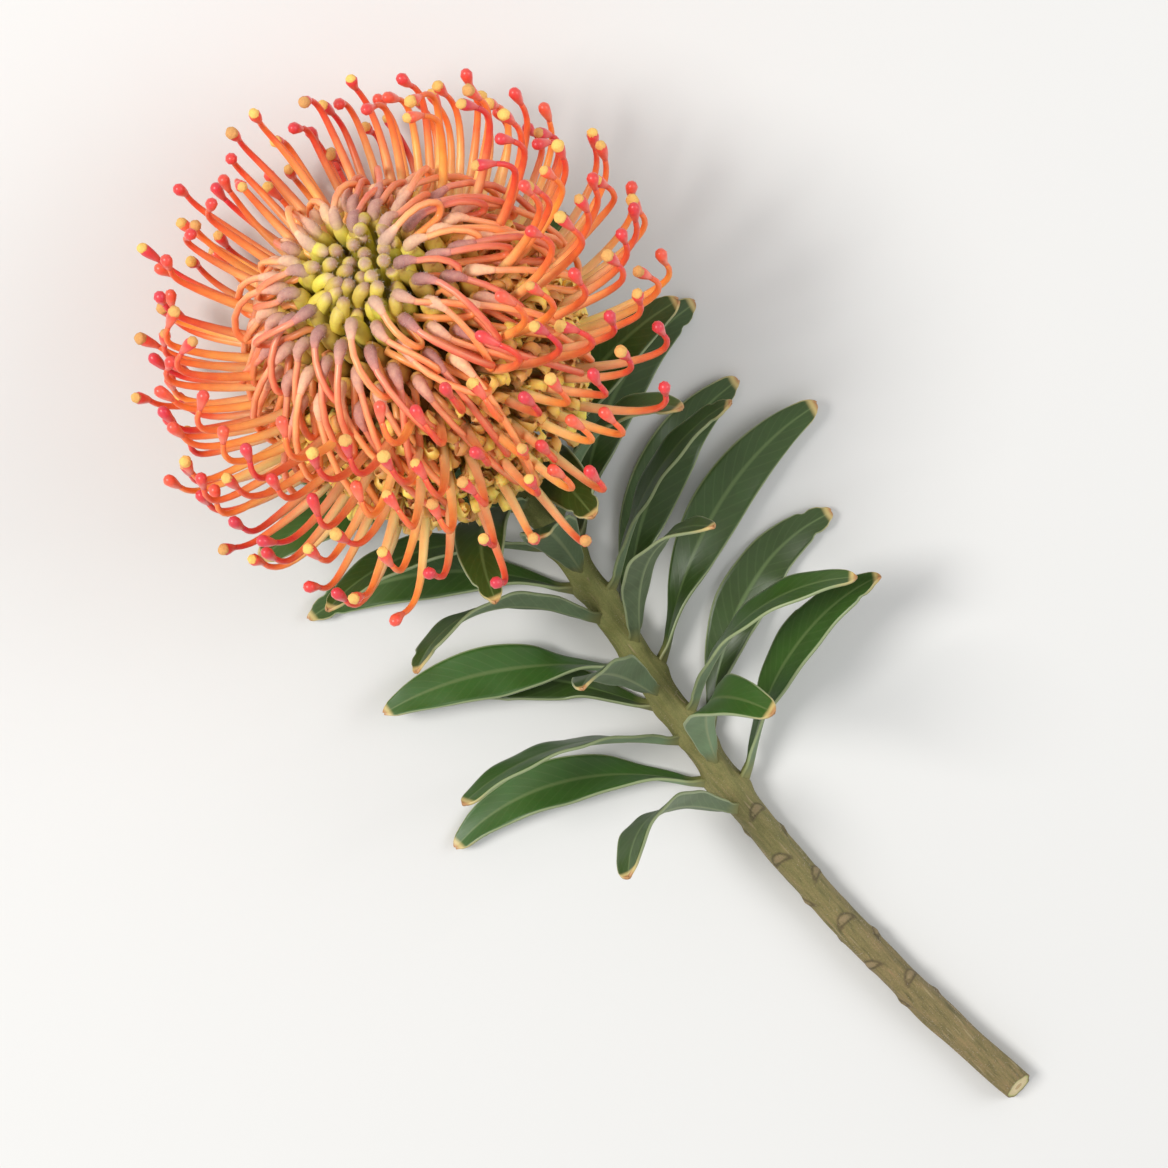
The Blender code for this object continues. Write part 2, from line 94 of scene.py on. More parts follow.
# Perianth segments, the ribbons that roll back round the foot of each style.
RIBBON_WIDTH = 2.3 * MM
RIBBON_STEPS = 40
RIBBON_SHAPES = 6
ROLL_RADIUS = 1.75 * MM
CORE_DEPTH = 5.2 * MM
RIM_TUBES = 40

# Central buds, which bend in over the tip of the head.
CENTRAL_BUDS = 36
BUD_SPREAD = 6.0 * MM
BUD_SEAT = 40.4 * MM
HAIR_SEAT = 1.15 * MM

# Bracts under the head: count, height, radius and lean in degrees of each row.
BRACT_ROWS = (
    (9, -12.4 * MM, 4.6 * MM, 37),
    (12, -9.2 * MM, 6.4 * MM, 41),
    (15, -6.0 * MM, 8.4 * MM, 42),
    (18, -2.9 * MM, 9.9 * MM, 44),
)
BRACT_LENGTH = 6.6 * MM
BRACT_WIDTH = 4.9 * MM

# Leaves, set in a spiral up the stem.
LEAVES = 26
FIRST_LEAF = 25 * MM
LEAF_SPACING = 3.9 * MM
LEAF_LENGTH = 60 * MM
LEAF_WIDTH = 11.5 * MM
LEAF_CLEARANCE = 0.495 * MM
BLADE_THICKNESS = 0.62 * MM
BLADE_COLUMNS = 12
BLADE_ROWS = 72
LEAF_STEPS = 8
LEAF_FURTHEST_ROUND = 138
SEAT_GAP = 0.4 * MM
TABLE_SOFTNESS = 3.0 * MM

# Where the random draws of each kind of piece start.
SEEDS = {
    "tone": 0,
    "grain": 8,
    "leaf": 40,
    "strap": 60,
    "blade": 700,
    "style": 3000,
    "presenter": 5000,
    "curl": 7000,
    "tube": 9000,
    "rim_tube": 9500,
    "loop": 11000,
    "bud": 13000,
    "bract": 15000,
}


def draws(kind, k=0):
    return random.Random(SEEDS[kind] + k)


# Rules that the solids follow too

def smoothstep(x):
    x = min(max(x, 0.0), 1.0)
    return x * x * (3 - 2 * x)


def above_table(point, clearance):
    """The point, pressed up smoothly where it would come closer to the table than the clearance."""
    height = point.z - clearance
    if height >= 4 * TABLE_SOFTNESS:
        return point.copy()
    lifted = 0.5 * (height + math.sqrt(height * height + TABLE_SOFTNESS**2)) - 0.2 * TABLE_SOFTNESS
    return Vector((point.x, point.y, clearance + max(lifted, 0.0)))


def stem_direction(s):
    """The way the stem points, towards the flower, at a distance s back from the head."""
    slope = REST_SLOPE + (HEAD_TILT - REST_SLOPE) * (1 - smoothstep(s / NECK_LENGTH))
    yaw = SIDE_SWAY * math.sin(1.5 * math.pi * min(s / STEM_LENGTH, 1.0))
    return Vector((math.sin(yaw) * math.cos(slope), math.cos(yaw) * math.cos(slope), math.sin(slope)))


def stem_radius(s):
    return NECK_RADIUS + (CUT_RADIUS - NECK_RADIUS) * min(max(s / STEM_LENGTH, 0.0), 1.0)


def stem_line():
    """Points of the stem's centre line, from the head back to the cut end, lying on the table."""
    point = Vector((HEAD_AT_X, HEAD_AT_Y, 0))
    points = [point]
    for k in range(round(STEM_LENGTH / STEM_STEP)):
        point = point - stem_direction((k + 0.5) * STEM_STEP) * STEM_STEP
        points.append(point)
    lowest = min(p.z - stem_radius(k * STEM_STEP) for k, p in enumerate(points))
    return [p - Vector((0, 0, lowest)) for p in points]


STEM_POINTS = stem_line()


def axes_at(place, x, y, z):
    """A matrix whose origin is the place and whose axes are the given ones."""
    axes = Matrix((x, y, z)).transposed().to_4x4()
    axes.translation = place
    return axes


def frame_on_stem(s):
    """A matrix at the stem's centre line: +Z along the stem, +Y on its upper side, +X across it."""
    k = min(max(s / STEM_STEP, 0.0), len(STEM_POINTS) - 1.001)
    place = STEM_POINTS[int(k)].lerp(STEM_POINTS[int(k) + 1], k - int(k))
    heading = stem_direction(max(s, 0.0))
    across = Vector((0, 0, 1)).cross(heading).normalized()
    return axes_at(place - heading * min(s, 0.0), across, heading.cross(across), heading)


HEAD_FRAME = frame_on_stem(0.0)
HEAD_TURN = HEAD_FRAME.to_3x3()


def beside_axis(around, radius=1.0, height=0.0):
    """A point off the axis, on the side given by around."""
    return Vector((radius * math.sin(around), radius * math.cos(around), height))


def leaning(angle, around):
    """A direction that leans off the axis by the angle, on the side given by around."""
    return beside_axis(around, math.sin(angle), math.cos(angle))


def floret_lean(v):
    outer = math.cos(OUTER_LEAN)
    return math.acos(outer + (1 - outer) * v)


def floret_root(v, around):
    height = 3 * MM + (RECEPTACLE_HEIGHT - 4 * MM) * v**0.9
    radius = RECEPTACLE_RADIUS * math.sqrt(max(1 - (height / RECEPTACLE_HEIGHT) ** 2, 0.0))
    return beside_axis(around, radius, height)


def over_dome(lean, around, height):
    """A point at a height over the dome of florets, where its surface faces the lean."""
    outer = math.cos(OUTER_LEAN)
    v = min(max((math.cos(lean) - outer) / (1 - outer), 0.0), 1.0)
    return floret_root(v, around) + leaning(lean, around) * (PERIANTH_LENGTH + height)


def florets():
    """Number, v and around of every floret in a golden-angle spiral, from the rim of the head to its tip."""
    return [(k, (k + 0.5) / FLORETS, (k * GOLDEN_ANGLE) % (2 * math.pi)) for k in range(FLORETS)]


def open_florets():
    return [floret for floret in florets() if floret[1] < OPEN_UNTIL]


def looped_florets():
    return [floret for floret in florets() if OPEN_UNTIL <= floret[1] < LOOPED_UNTIL]


# Modelled shapes and their copies

class Shape:
    """A modelled shape as arrays: its points, and the corners of its faces with their counts."""

    def __init__(self, obj):
        mesh = obj.data
        self.points = np.empty(3 * len(mesh.vertices), dtype=np.float64)
        mesh.vertices.foreach_get("co", self.points)
        self.points = self.points.reshape(-1, 3)
        self.corners = np.empty(len(mesh.loops), dtype=np.int64)
        mesh.loops.foreach_get("vertex_index", self.corners)
        self.counts = np.empty(len(mesh.polygons), dtype=np.int64)
        mesh.polygons.foreach_get("loop_total", self.counts)
        self.unrolled = None
        bpy.data.objects.remove(obj)
        bpy.data.meshes.remove(mesh)

    def unroll(self):
        """Lays an upright rod's faces out in the unit square, sides unrolled and ends in two corners."""
        turn = np.mod(np.arctan2(self.points[:, 1], self.points[:, 0]) / (2 * math.pi) + 0.5001, 1.0)
        turn = turn - turn.min()
        self.unrolled = np.empty((len(self.corners), 2))
        start = 0
        for count in self.counts:
            rows = self.corners[start:start + count]
            heights = self.points[rows, 2]
            if np.ptp(heights) < 1e-7:
                flat = self.points[rows, :2] / np.abs(self.points[rows, :2]).max() * 0.04
                self.unrolled[start:start + count] = flat + (0.04 if heights[0] < 0.5 else 0.96)
            else:
                around = turn[rows]
                around = np.where((around < 0.5) & (np.ptp(around) > 0.5), around + 1, around)
                self.unrolled[start:start + count] = np.column_stack([around, 0.1 + 0.8 * heights])
            start += count


class Gathered:
    """Copies of modelled shapes that make up one piece, each with points of its own."""

    def __init__(self):
        self.points = []
        self.corners = []
        self.counts = []
        self.lays = []
        self.unrolled = []
        self.total = 0

    def add(self, shape, points, draw=0.0, tint=0.0, power=1.0):
        """One copy. Its lay, which the materials read, is the height in the shape and two values of its own.

        A power above one holds the colours of the shape's foot further up it.
        """
        self.points.append(points)
        self.corners.append(shape.corners + self.total)
        self.counts.append(shape.counts)
        heights = np.clip(shape.points[:, 2], 0, 1) ** power
        self.lays.append(np.column_stack(np.broadcast_arrays(heights, draw, tint)))
        self.unrolled.append(shape.unrolled)
        self.total += len(points)

    def bake_map(self):
        """A place on a sheet for each corner, where every copy has a cell of its own."""
        columns = math.ceil(math.sqrt(3 * len(self.unrolled)))
        rows = math.ceil(len(self.unrolled) / columns)
        cells = []
        for k, unrolled in enumerate(self.unrolled):
            cells.append((unrolled * 0.86 + (k % columns + 0.07, k // columns + 0.07)) / (columns, rows))
        return np.concatenate(cells)

    def made(self, name, material, slot, *nodes):
        points = np.concatenate(self.points)
        corners = np.concatenate(self.corners)
        counts = np.concatenate(self.counts)
        mesh = bpy.data.meshes.new(name)
        mesh.vertices.add(len(points))
        mesh.vertices.foreach_set("co", points.ravel())
        mesh.loops.add(len(corners))
        mesh.loops.foreach_set("vertex_index", corners)
        mesh.polygons.add(len(counts))
        mesh.polygons.foreach_set("loop_start", np.concatenate([[0], np.cumsum(counts)[:-1]]))
        mesh.update(calc_edges=True)
        mesh.validate()
        write_lay(mesh, np.concatenate(self.lays))
        if self.unrolled[0] is not None:
            sheet = mesh.uv_layers.new(name="OFBake")
            sheet.uv.foreach_set("vector", self.bake_map().astype(np.float32).ravel())
        mesh.shade_smooth()
        return dressed(placed(name, mesh), material, slot, *nodes)


def placed(name, data):
    """A new object of the scene."""
    obj = bpy.data.objects.new(name, data)
    bpy.context.scene.collection.objects.link(obj)
    return obj


def write_lay(mesh, rows):
    """Gives each point of the mesh the three values that the materials read."""
    lay = mesh.attributes.new("lay", "FLOAT_VECTOR", "POINT")
    lay.data.foreach_set("vector", np.asarray(rows, dtype=np.float32).ravel())


def dressed(obj, material, slot, *nodes):
    """Gives the piece its finish, and tells the frame what it rides on and which nodes it replaces."""
    if material is not None:
        obj.data.materials.clear()
        obj.data.materials.append(material)
    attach(obj, "root")
    if nodes:
        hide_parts(*nodes)
    return obj


def fresh(add, **settings):
    """The object that a primitive's operator adds, alone in the selection."""
    for obj in bpy.context.selected_objects:
        obj.select_set(False)
    add(**settings)
    return bpy.context.object


def thicken(obj, thickness, two_sided=False):
    """Gives a sheet a wall, half to either side, and the second material underneath if it is two-sided."""
    solidify = obj.modifiers.new("Solidify", "SOLIDIFY")
    solidify.thickness = thickness
    solidify.offset = 0
    solidify.material_offset = int(two_sided)
    bpy.ops.object.modifier_apply(modifier=solidify.name)


def drawn_out(profile, sides, unit=MM, flatten=1.0):
    """An upright rod, one high, drawn out of a circle by extruding it along (height, radius) pairs.

    The radii are in the unit, and the heights may run over any range.
    """
    low, high = profile[0][0], profile[-1][0]
    rings = [((height - low) / (high - low), radius * unit) for height, radius in profile]
    rod = fresh(bpy.ops.mesh.primitive_circle_add, vertices=sides, radius=rings[0][1], fill_type="NGON")
    bpy.ops.object.mode_set(mode="EDIT")
    bpy.ops.mesh.select_all(action="SELECT")
    for (start, before), (end, after) in zip(rings, rings[1:]):
        bpy.ops.mesh.extrude_region_move(TRANSFORM_OT_translate={"value": (0, 0, end - start)})
        bpy.ops.transform.resize(value=(after / before, after / before, 1), center_override=(0, 0, end))
    bpy.ops.mesh.select_all(action="SELECT")
    bpy.ops.transform.resize(value=(1, flatten, 1), center_override=(0, 0, 0))
    bpy.ops.mesh.normals_make_consistent(inside=False)
    bpy.ops.object.mode_set(mode="OBJECT")
    shape = Shape(rod)
    shape.unroll()
    return shape


def even(count):
    return [k / (count - 1) for k in range(count)]


def along(places, stops):
    """Each place with its value between the (place, value) stops."""
    return [(place, float(np.interp(place, *zip(*stops)))) for place in places]


def sections(path, across=None):
    """The two directions square to the path at each of its points, carried along without twist."""
    heading = np.gradient(path, axis=0)
    heading /= np.linalg.norm(heading, axis=1, keepdims=True)
    if across is None:
        side = np.cross(heading[0], (0.31, 0.22, 0.93))
        rows = []
        for way in heading:
            side = side - way * side.dot(way)
            side = side / np.linalg.norm(side)
            rows.append(side)
        across = np.array(rows)
    across = across - heading * np.sum(across * heading, axis=1, keepdims=True)
    across /= np.linalg.norm(across, axis=1, keepdims=True)
    return across, np.cross(heading, across)


def laid(shape, path, across=None):
    """The shape's points with its height run along the path and its section carried with it."""
    path = np.array(path, dtype=np.float64)
    side, up = sections(path, across)
    place = np.clip(shape.points[:, 2], 0, 1) * (len(path) - 1)
    low = np.minimum(place.astype(int), len(path) - 2)
    share = (place - low)[:, None]

    def between(rows):
        return rows[low] * (1 - share) + rows[low + 1] * share

    return between(path) + between(side) * shape.points[:, :1] + between(up) * shape.points[:, 1:2]


def smooth_path(points, count):
    """An even Catmull-Rom curve of count points through the given ones."""
    points = [2 * points[0] - points[1], *points, 2 * points[-1] - points[-2]]
    path = []
    for j in range(count):
        place = j / (count - 1) * (len(points) - 3)
        k = min(int(place), len(points) - 4)
        t = place - k
        a, b, c, d = points[k:k + 4]
        bend = (2 * a - 5 * b + 4 * c - d) * t * t + (3 * b - a - 3 * c + d) * t**3
        path.append(0.5 * (2 * b + (c - a) * t + bend))
    return path


def on_table(points, clearance):
    """Points of the head's frame in the part's frame, clear of the table."""
    return [above_table(HEAD_FRAME @ point, clearance) for point in points]


def turned(name, profile, sides, steps, material, slot, unit=MM, fluting=0.0):
    """A round piece on the head's axis from (height, radius) pairs, fluted as tubes side by side are."""
    shape = drawn_out(profile, sides, unit)
    turn = np.arctan2(shape.points[:, 0], shape.points[:, 1])
    shape.points[:, :2] *= (1 + fluting * np.cos(36 * turn))[:, None]
    low, high = profile[0][0], profile[-1][0]
    path = [HEAD_FRAME @ Vector((0, 0, (low + (high - low) * t) * unit)) for t in even(steps)]
    piece = Gathered()
    piece.add(shape, laid(shape, path))
    piece.made(name, material, slot)


# Materials

def node(tree, kind, inputs=None, **settings):
    """A node with its settings, and with values or the outputs of other nodes in its sockets."""
    made = tree.nodes.new(kind)
    for name, value in settings.items():
        setattr(made, name, value)
    for name, value in (inputs or {}).items():
        if isinstance(value, bpy.types.NodeSocket):
            tree.links.new(value, made.inputs[name])
        else:
            made.inputs[name].default_value = value
    return made


def maths(tree, operation, *values):
    return node(tree, "ShaderNodeMath", dict(enumerate(values)), operation=operation).outputs[0]


def ramp(tree, stops, value):
    """The colour at the value between (place, colour) stops."""
    made = tree.nodes.new("ShaderNodeValToRGB")
    elements = made.color_ramp.elements
    for element, (place, colour) in ((elements[0], stops[0]), (elements[1], stops[-1])):
        element.position = place
        element.color = (*colour, 1)
    for place, colour in stops[1:-1]:
        elements.new(place).color = (*colour, 1)
    tree.links.new(value, made.inputs[0])
    return made.outputs["Color"]


def mask(tree, stops, value):
    """How strongly something shows, from (place, share) stops over the value."""
    return ramp(tree, [(place, (share, share, share)) for place, share in stops], value)


def layered(tree, colour, masks):
    """The colour with tones laid over it, each as strongly as its mask says."""
    for share, tone in masks:
        inputs = {0: share, 6: colour, 7: (*tone, 1)}
        colour = node(tree, "ShaderNodeMix", inputs, data_type="RGBA").outputs[2]
    return colour


def mottle_group():
    """A node group that varies a colour in light and hue over the surface and from piece to piece."""
    group = bpy.data.node_groups.new("mottle", "ShaderNodeTree")
    group.interface.new_socket("Color", in_out="INPUT", socket_type="NodeSocketColor")
    for name, start in (("Draw", 0.5), ("Scale", 800.0), ("Light", 0.15), ("Hue", 0.02)):
        socket = group.interface.new_socket(name, in_out="INPUT", socket_type="NodeSocketFloat")
        socket.default_value = start
    group.interface.new_socket("Color", in_out="OUTPUT", socket_type="NodeSocketColor")
    group.interface.new_socket("Height", in_out="OUTPUT", socket_type="NodeSocketFloat")
    given = group.nodes.new("NodeGroupInput").outputs
    place = group.nodes.new("ShaderNodeTexCoord").outputs["Object"]
    grain = {"Vector": place, "Scale": given["Scale"], "Detail": 4.0, "Roughness": 0.6}
    noise = node(group, "ShaderNodeTexNoise", grain).outputs["Fac"]
    centred = maths(group, "SUBTRACT", maths(group, "ADD", noise, given["Draw"]), 1.0)
    light = maths(group, "MULTIPLY_ADD", centred, given["Light"], 1.0)
    hue = maths(group, "MULTIPLY_ADD", centred, given["Hue"], 0.5)
    shift = {"Color": given["Color"], "Value": light, "Hue": hue}
    shifted = node(group, "ShaderNodeHueSaturation", shift).outputs["Color"]
    node(group, "NodeGroupOutput", {"Color": shifted, "Height": noise})
    return group


MOTTLE = mottle_group()


def mottled(tree, **inputs):
    return node(tree, "ShaderNodeGroup", inputs, node_tree=MOTTLE).outputs


def started(name):
    """A new material, its tree, and the three values of the piece's lay."""
    material = bpy.data.materials.new(name)
    material.use_nodes = True
    tree = material.node_tree
    lay = node(tree, "ShaderNodeAttribute", attribute_name="lay").outputs["Vector"]
    return material, tree, node(tree, "ShaderNodeSeparateXYZ", {"Vector": lay}).outputs


def surfaced(shader, values):
    for name, value in values.items():
        shader.inputs[name].default_value = value


def finished(material, colour, bumps, values):
    """Gives the material a colour, its bumps as (height, strength, distance), and plain values."""
    tree = material.node_tree
    shader = tree.nodes["Principled BSDF"]
    tree.links.new(colour, shader.inputs["Base Color"])
    normal = {}
    for height, strength, distance in bumps:
        inputs = {"Height": height, "Strength": strength, "Distance": distance, **normal}
        normal = {"Normal": node(tree, "ShaderNodeBump", inputs).outputs["Normal"]}
    tree.links.new(normal["Normal"], shader.inputs["Normal"])
    surfaced(shader, values)
    return material


def plain(name, colour, roughness):
    material = bpy.data.materials.new(name)
    material.use_nodes = True
    shader = material.node_tree.nodes["Principled BSDF"]
    surfaced(shader, {"Base Color": (*colour, 1), "Roughness": roughness})
    return material


# Each skin's colours run up its shape from the foot, and its rim colour lies over them where the lay says.
# On the styles the rim is painted sheen, deeper red along two sides; on the loops and curls it is a pale
# painted highlight; on the limbs and claws it is their own tint further out.
SKINS = {
    "style_skin": dict(
        stops=[
            (0.00, (0.56, 0.58, 0.17)), (0.18, (0.84, 0.72, 0.32)), (0.34, (0.95, 0.66, 0.30)),
            (0.52, (0.95, 0.44, 0.14)), (0.70, (0.93, 0.22, 0.055)), (0.87, (0.89, 0.11, 0.035)),
            (1.00, (0.84, 0.08, 0.045)),
        ],
        # The rim is painted sheen: deeper red along two sides of each style.
        rim=(0.90, 0.20, 0.05),
        roughness=0.38, scale=300.0, light=0.30, hue=0.035, bump=0.06, soft=0.12, coat=0.08,
    ),
    "presenter_skin": dict(
        stops=[
            (0.00, (0.83, 0.085, 0.05)), (0.35, (0.88, 0.15, 0.10)), (0.70, (0.86, 0.08, 0.06)),
            (1.00, (0.74, 0.06, 0.05)),
        ],
        roughness=0.34, scale=900.0, light=0.25, hue=0.02, bump=0.12, soft=0.12, coat=0.2,
    ),
    "pollen_grains": dict(
        stops=[(0.0, (0.82, 0.46, 0.13)), (1.0, (0.88, 0.60, 0.22))],
        roughness=0.85, scale=2600.0, bump=0.9,
    ),
    "curl_skin": dict(
        stops=[
            (0.00, (0.50, 0.50, 0.10)), (0.20, (0.84, 0.57, 0.10)), (0.48, (0.89, 0.50, 0.10)),
            (0.70, (0.87, 0.36, 0.09)), (0.86, (0.80, 0.30, 0.09)), (1.00, (0.52, 0.22, 0.09)),
        ],
        # The rim is a pale cream painted highlight along the edges of each ribbon.
        rim=(0.92, 0.58, 0.20),
        roughness=0.55, scale=420.0, light=0.48, hue=0.05, bump=0.3, soft=0.25,
    ),
    "tube_skin": dict(
        stops=[(0.0, (0.40, 0.42, 0.14)), (0.5, (0.62, 0.60, 0.15)), (1.0, (0.80, 0.62, 0.15))],
        roughness=0.6, scale=500.0, bump=0.3, soft=0.08,
    ),
    "core_skin": dict(
        stops=[
            (0.00, (0.46, 0.44, 0.13)), (0.06, (0.70, 0.46, 0.11)), (0.30, (0.74, 0.44, 0.10)),
            (1.00, (0.52, 0.46, 0.08)),
        ],
        roughness=0.9, scale=420.0, light=0.9, hue=0.05, bump=1.0,
    ),
    "loop_skin": dict(
        stops=[
            (0.00, (0.88, 0.44, 0.12)), (0.30, (0.90, 0.25, 0.07)), (0.62, (0.91, 0.19, 0.06)),
            (0.86, (0.90, 0.27, 0.12)), (1.00, (0.85, 0.36, 0.25)),
        ],
        # The rim is a pale painted highlight stripe along each loop.
        rim=(0.97, 0.46, 0.20),
        roughness=0.36, scale=300.0, light=0.30, bump=0.06, soft=0.12, coat=0.1,
    ),
    "limb_skin": dict(
        stops=[
            (0.00, (0.58, 0.50, 0.12)), (0.22, (0.50, 0.34, 0.20)), (0.45, (0.44, 0.25, 0.20)),
            (0.72, (0.56, 0.31, 0.24)), (0.88, (0.76, 0.38, 0.27)), (1.00, (0.85, 0.40, 0.28)),
        ],
        rim=(0.87, 0.44, 0.28),
        roughness=0.75, scale=900.0, light=0.6, hue=0.05, bump=0.7,
    ),
    # The tubes of the unopened florets: yellow-green by the tip of the head, golden further out.
    "claw_skin": dict(
        stops=[
            (0.00, (0.48, 0.44, 0.07)), (0.50, (0.60, 0.52, 0.08)), (0.85, (0.62, 0.47, 0.11)),
            (1.00, (0.52, 0.36, 0.18)),
        ],
        rim=(0.80, 0.43, 0.12),
        roughness=0.6, scale=500.0, light=0.4, hue=0.04, bump=0.3, soft=0.1,
    ),
    "bud_skin": dict(
        stops=[
            (0.00, (0.50, 0.44, 0.05)), (0.60, (0.72, 0.60, 0.07)), (0.88, (0.70, 0.55, 0.10)),
            (0.95, (0.56, 0.37, 0.17)), (1.00, (0.43, 0.25, 0.19)),
        ],
        roughness=0.5, scale=900.0, bump=0.3, soft=0.08,
    ),
    "bract_skin": dict(
        stops=[
            (0.00, (0.50, 0.42, 0.22)), (0.50, (0.42, 0.40, 0.18)), (0.80, (0.44, 0.31, 0.15)),
            (0.93, (0.32, 0.16, 0.08)), (1.00, (0.20, 0.09, 0.05)),
        ],
        roughness=0.7, scale=900.0, light=0.4, bump=0.6,
    ),
}


def skin(name):
    return skin_of(name, **SKINS[name])


def skin_of(name, stops, roughness, scale, bump, light=0.35, hue=0.03, soft=0.0, coat=0.0, rim=None):
    """A plant skin whose colour runs over the piece's lay, with mottling, fine bumps and a soft sheen."""
    material, tree, lay = started(name)
    colour = ramp(tree, stops, lay["X"])
    if rim:
        colour = layered(tree, colour, [(lay["Z"], rim)])
    varied = mottled(tree, Color=colour, Draw=lay["Y"], Scale=scale, Light=light, Hue=hue)
    values = {"Roughness": roughness}
    if soft:
        values |= {"Subsurface Weight": soft, "Subsurface Radius": (1.0, 0.35, 0.15), "Subsurface Scale": MM}
    if coat:
        values |= {"Coat Weight": coat, "Coat Roughness": 0.3}
    return finished(material, varied["Color"], [(varied["Height"], bump, 0.2 * MM)], values)


# Leaves

def leaf_rule(k):
    """Place on the stem, side and bearing of the leaf number k, counted back from the head."""
    draw = draws("leaf", k)
    turn = math.degrees(k * GOLDEN_ANGLE + 0.4) % 360 - 180
    side = math.radians(turn * LEAF_FURTHEST_ROUND / 180)
    upward = 0.5 + 0.5 * math.cos(side)
    return {
        "s": FIRST_LEAF + k * LEAF_SPACING,
        "side": side,
        "length": LEAF_LENGTH * draw.uniform(0.86, 1.1) * (0.84 + 0.16 * smoothstep(k / 5)),
        "lean": math.radians(40 + 10 * upward + 14 * (1 - smoothstep(k / 6)) + draw.uniform(-5, 5)),
        "recurve": math.radians(46 + 12 * upward + draw.uniform(-18, 18)),
        "sway": math.radians(draw.uniform(-20, 20)),
        "flop": draw.uniform(0.55, 1.0) * smoothstep((abs(math.degrees(side)) - 40) / 60),
        "twist": math.radians(draw.uniform(-22, 22)),
    }


def leaf_spine(rule):
    """Stations from the leaf's foot to its tip, each its place, its heading and the way across it."""
    axes = frame_on_stem(rule["s"])
    turn = axes.to_3x3()
    out = beside_axis(rule["side"])
    beside = Vector((out.y, -out.x, 0))
    place = axes @ (out * (stem_radius(rule["s"]) + SEAT_GAP + LEAF_CLEARANCE))
    stations = []
    for j in range(LEAF_STEPS + 1):
        t = j / LEAF_STEPS
        angle = rule["lean"] + rule["recurve"] * t**1.3
        beside_share = math.tan(rule["sway"] * t)
        heading = out * math.sin(angle) + Vector((0, 0, math.cos(angle))) + beside * beside_share
        heading = (turn @ heading).normalized()
        if place.z < 1.5 * MM and heading.z < 0:
            heading = Vector((heading.x, heading.y, 0)).normalized()
        # Leaves at the sides flop over, so that their upper face looks up.
        level = heading.cross(Vector((0, 0, 1))).normalized()
        flop = rule["flop"] * smoothstep(t / 0.5)
        across = (turn @ beside) * (1 - flop) + level * flop
        across = (across - heading * across.dot(heading)).normalized()
        across = Matrix.Rotation(rule["twist"] * t * (1 - flop), 3, heading) @ across
        stations.append((place.copy(), heading, across))
        place = above_table(place + heading * rule["length"] / LEAF_STEPS, LEAF_CLEARANCE)
    return stations


def make_leaf(k, upper, under):
    """A blade on the spine of its solid, with a grooved midrib, a waved rim and a callus at the tip."""
    rule = leaf_rule(k)
    draw = draws("blade", k)
    tone = draws("tone", k).random()
    stations = leaf_spine(rule)
    rows = 400
    axes = frame_on_stem(rule["s"])
    inwards = axes.to_3x3() @ -beside_axis(rule["side"])
    places, headings, acrosses = (smooth_path(list(row), rows + 1) for row in zip(*stations))
    wave = draw.uniform(0, 6)
    teeth = draw.choice((0, 0, 1, 2))
    taper = draw.uniform(0.66, 0.82)
    fold = draw.uniform(0.08, 0.30)
    add = bpy.ops.mesh.primitive_grid_add
    leaf = fresh(add, x_subdivisions=BLADE_COLUMNS, y_subdivisions=BLADE_ROWS, size=2)
    leaf.name = f"leaf_blade_{k + 1:02d}"
    lays = []
    keels = []
    for corner in leaf.data.vertices:
        # The rows of the grid stand closer together towards the tip.
        t = 1 - (0.5 - 0.5 * corner.co.y) ** 1.35
        side = corner.co.x
        row = round(t * rows)
        across = acrosses[row].normalized()
        facing = across.cross(headings[row]).normalized()
        half = blade_half_width(t, side, teeth, taper)
        width = half * side
        channel = fold * abs(side) ** 1.5 * half * (1 - 0.5 * t)
        groove = -0.16 * MM * math.exp(-((width / (0.55 * MM)) ** 2)) * (1 - 0.6 * t)
        ripple = 0.22 * MM * side**2 * math.sin(26 * t + wave + (1.3 if side > 0 else 0)) * smoothstep(4 * t)
        foot = 1 - smoothstep(t / 0.07)
        keel = (0.55 * MM * (1 - 0.75 * t) + 0.7 * MM * foot) * math.exp(-((width / (0.8 * MM)) ** 2))
        sunk = inwards * foot * (SEAT_GAP + 1.5 * MM) * (0.8 + 0.5 * abs(side))
        lays.append((t, side, tone))
        keels.append(facing * keel)
        place = places[row] + across * width + facing * (channel + groove + ripple) + sunk
        corner.co = above_table(place, 0.4 * MM)
    write_lay(leaf.data, lays)
    leaf.data.materials.append(upper)
    leaf.data.materials.append(under)
    thicken(leaf, BLADE_THICKNESS, two_sided=True)
    # The points of the underside follow those of the upper side, in the same order.
    for corner, keel in zip(leaf.data.vertices[len(keels):], keels):
        corner.co = corner.co - keel
        corner.co.z = max(corner.co.z, 0.1 * MM)
    leaf.data.shade_smooth()
    return dressed(leaf, None, "leaf", f"leaf_{k + 1:02d}")


def blade_half_width(t, side, teeth, taper):
    """The solid's half width, tapered to a rounded tip and notched beside it where the leaf has teeth."""
    half = 0.5 * LEAF_WIDTH * (0.34 + 0.66 * smoothstep(t / 0.55)) * (0.60 + 0.40 * smoothstep(t / 0.12))
    half *= math.sqrt(1 - max(1 - t / 0.03, 0.0) ** 2 * 0.9)
    half *= 1 - taper * max((t - 0.52) / 0.48, 0.0) ** 2
    half *= math.sqrt(max(1 - max((t - 0.955) / 0.0455, 0.0) ** 2, 0.0)) * 0.97 + 0.03
    if teeth and t > 0.84:
        notch = (0.5 + 0.5 * math.cos(2 * math.pi * (t - 0.84) / 0.068)) ** 2
        if teeth == 2 or side > 0:
            half *= 1 - 0.17 * notch * smoothstep((t - 0.85) / 0.03) * abs(side)
    return half


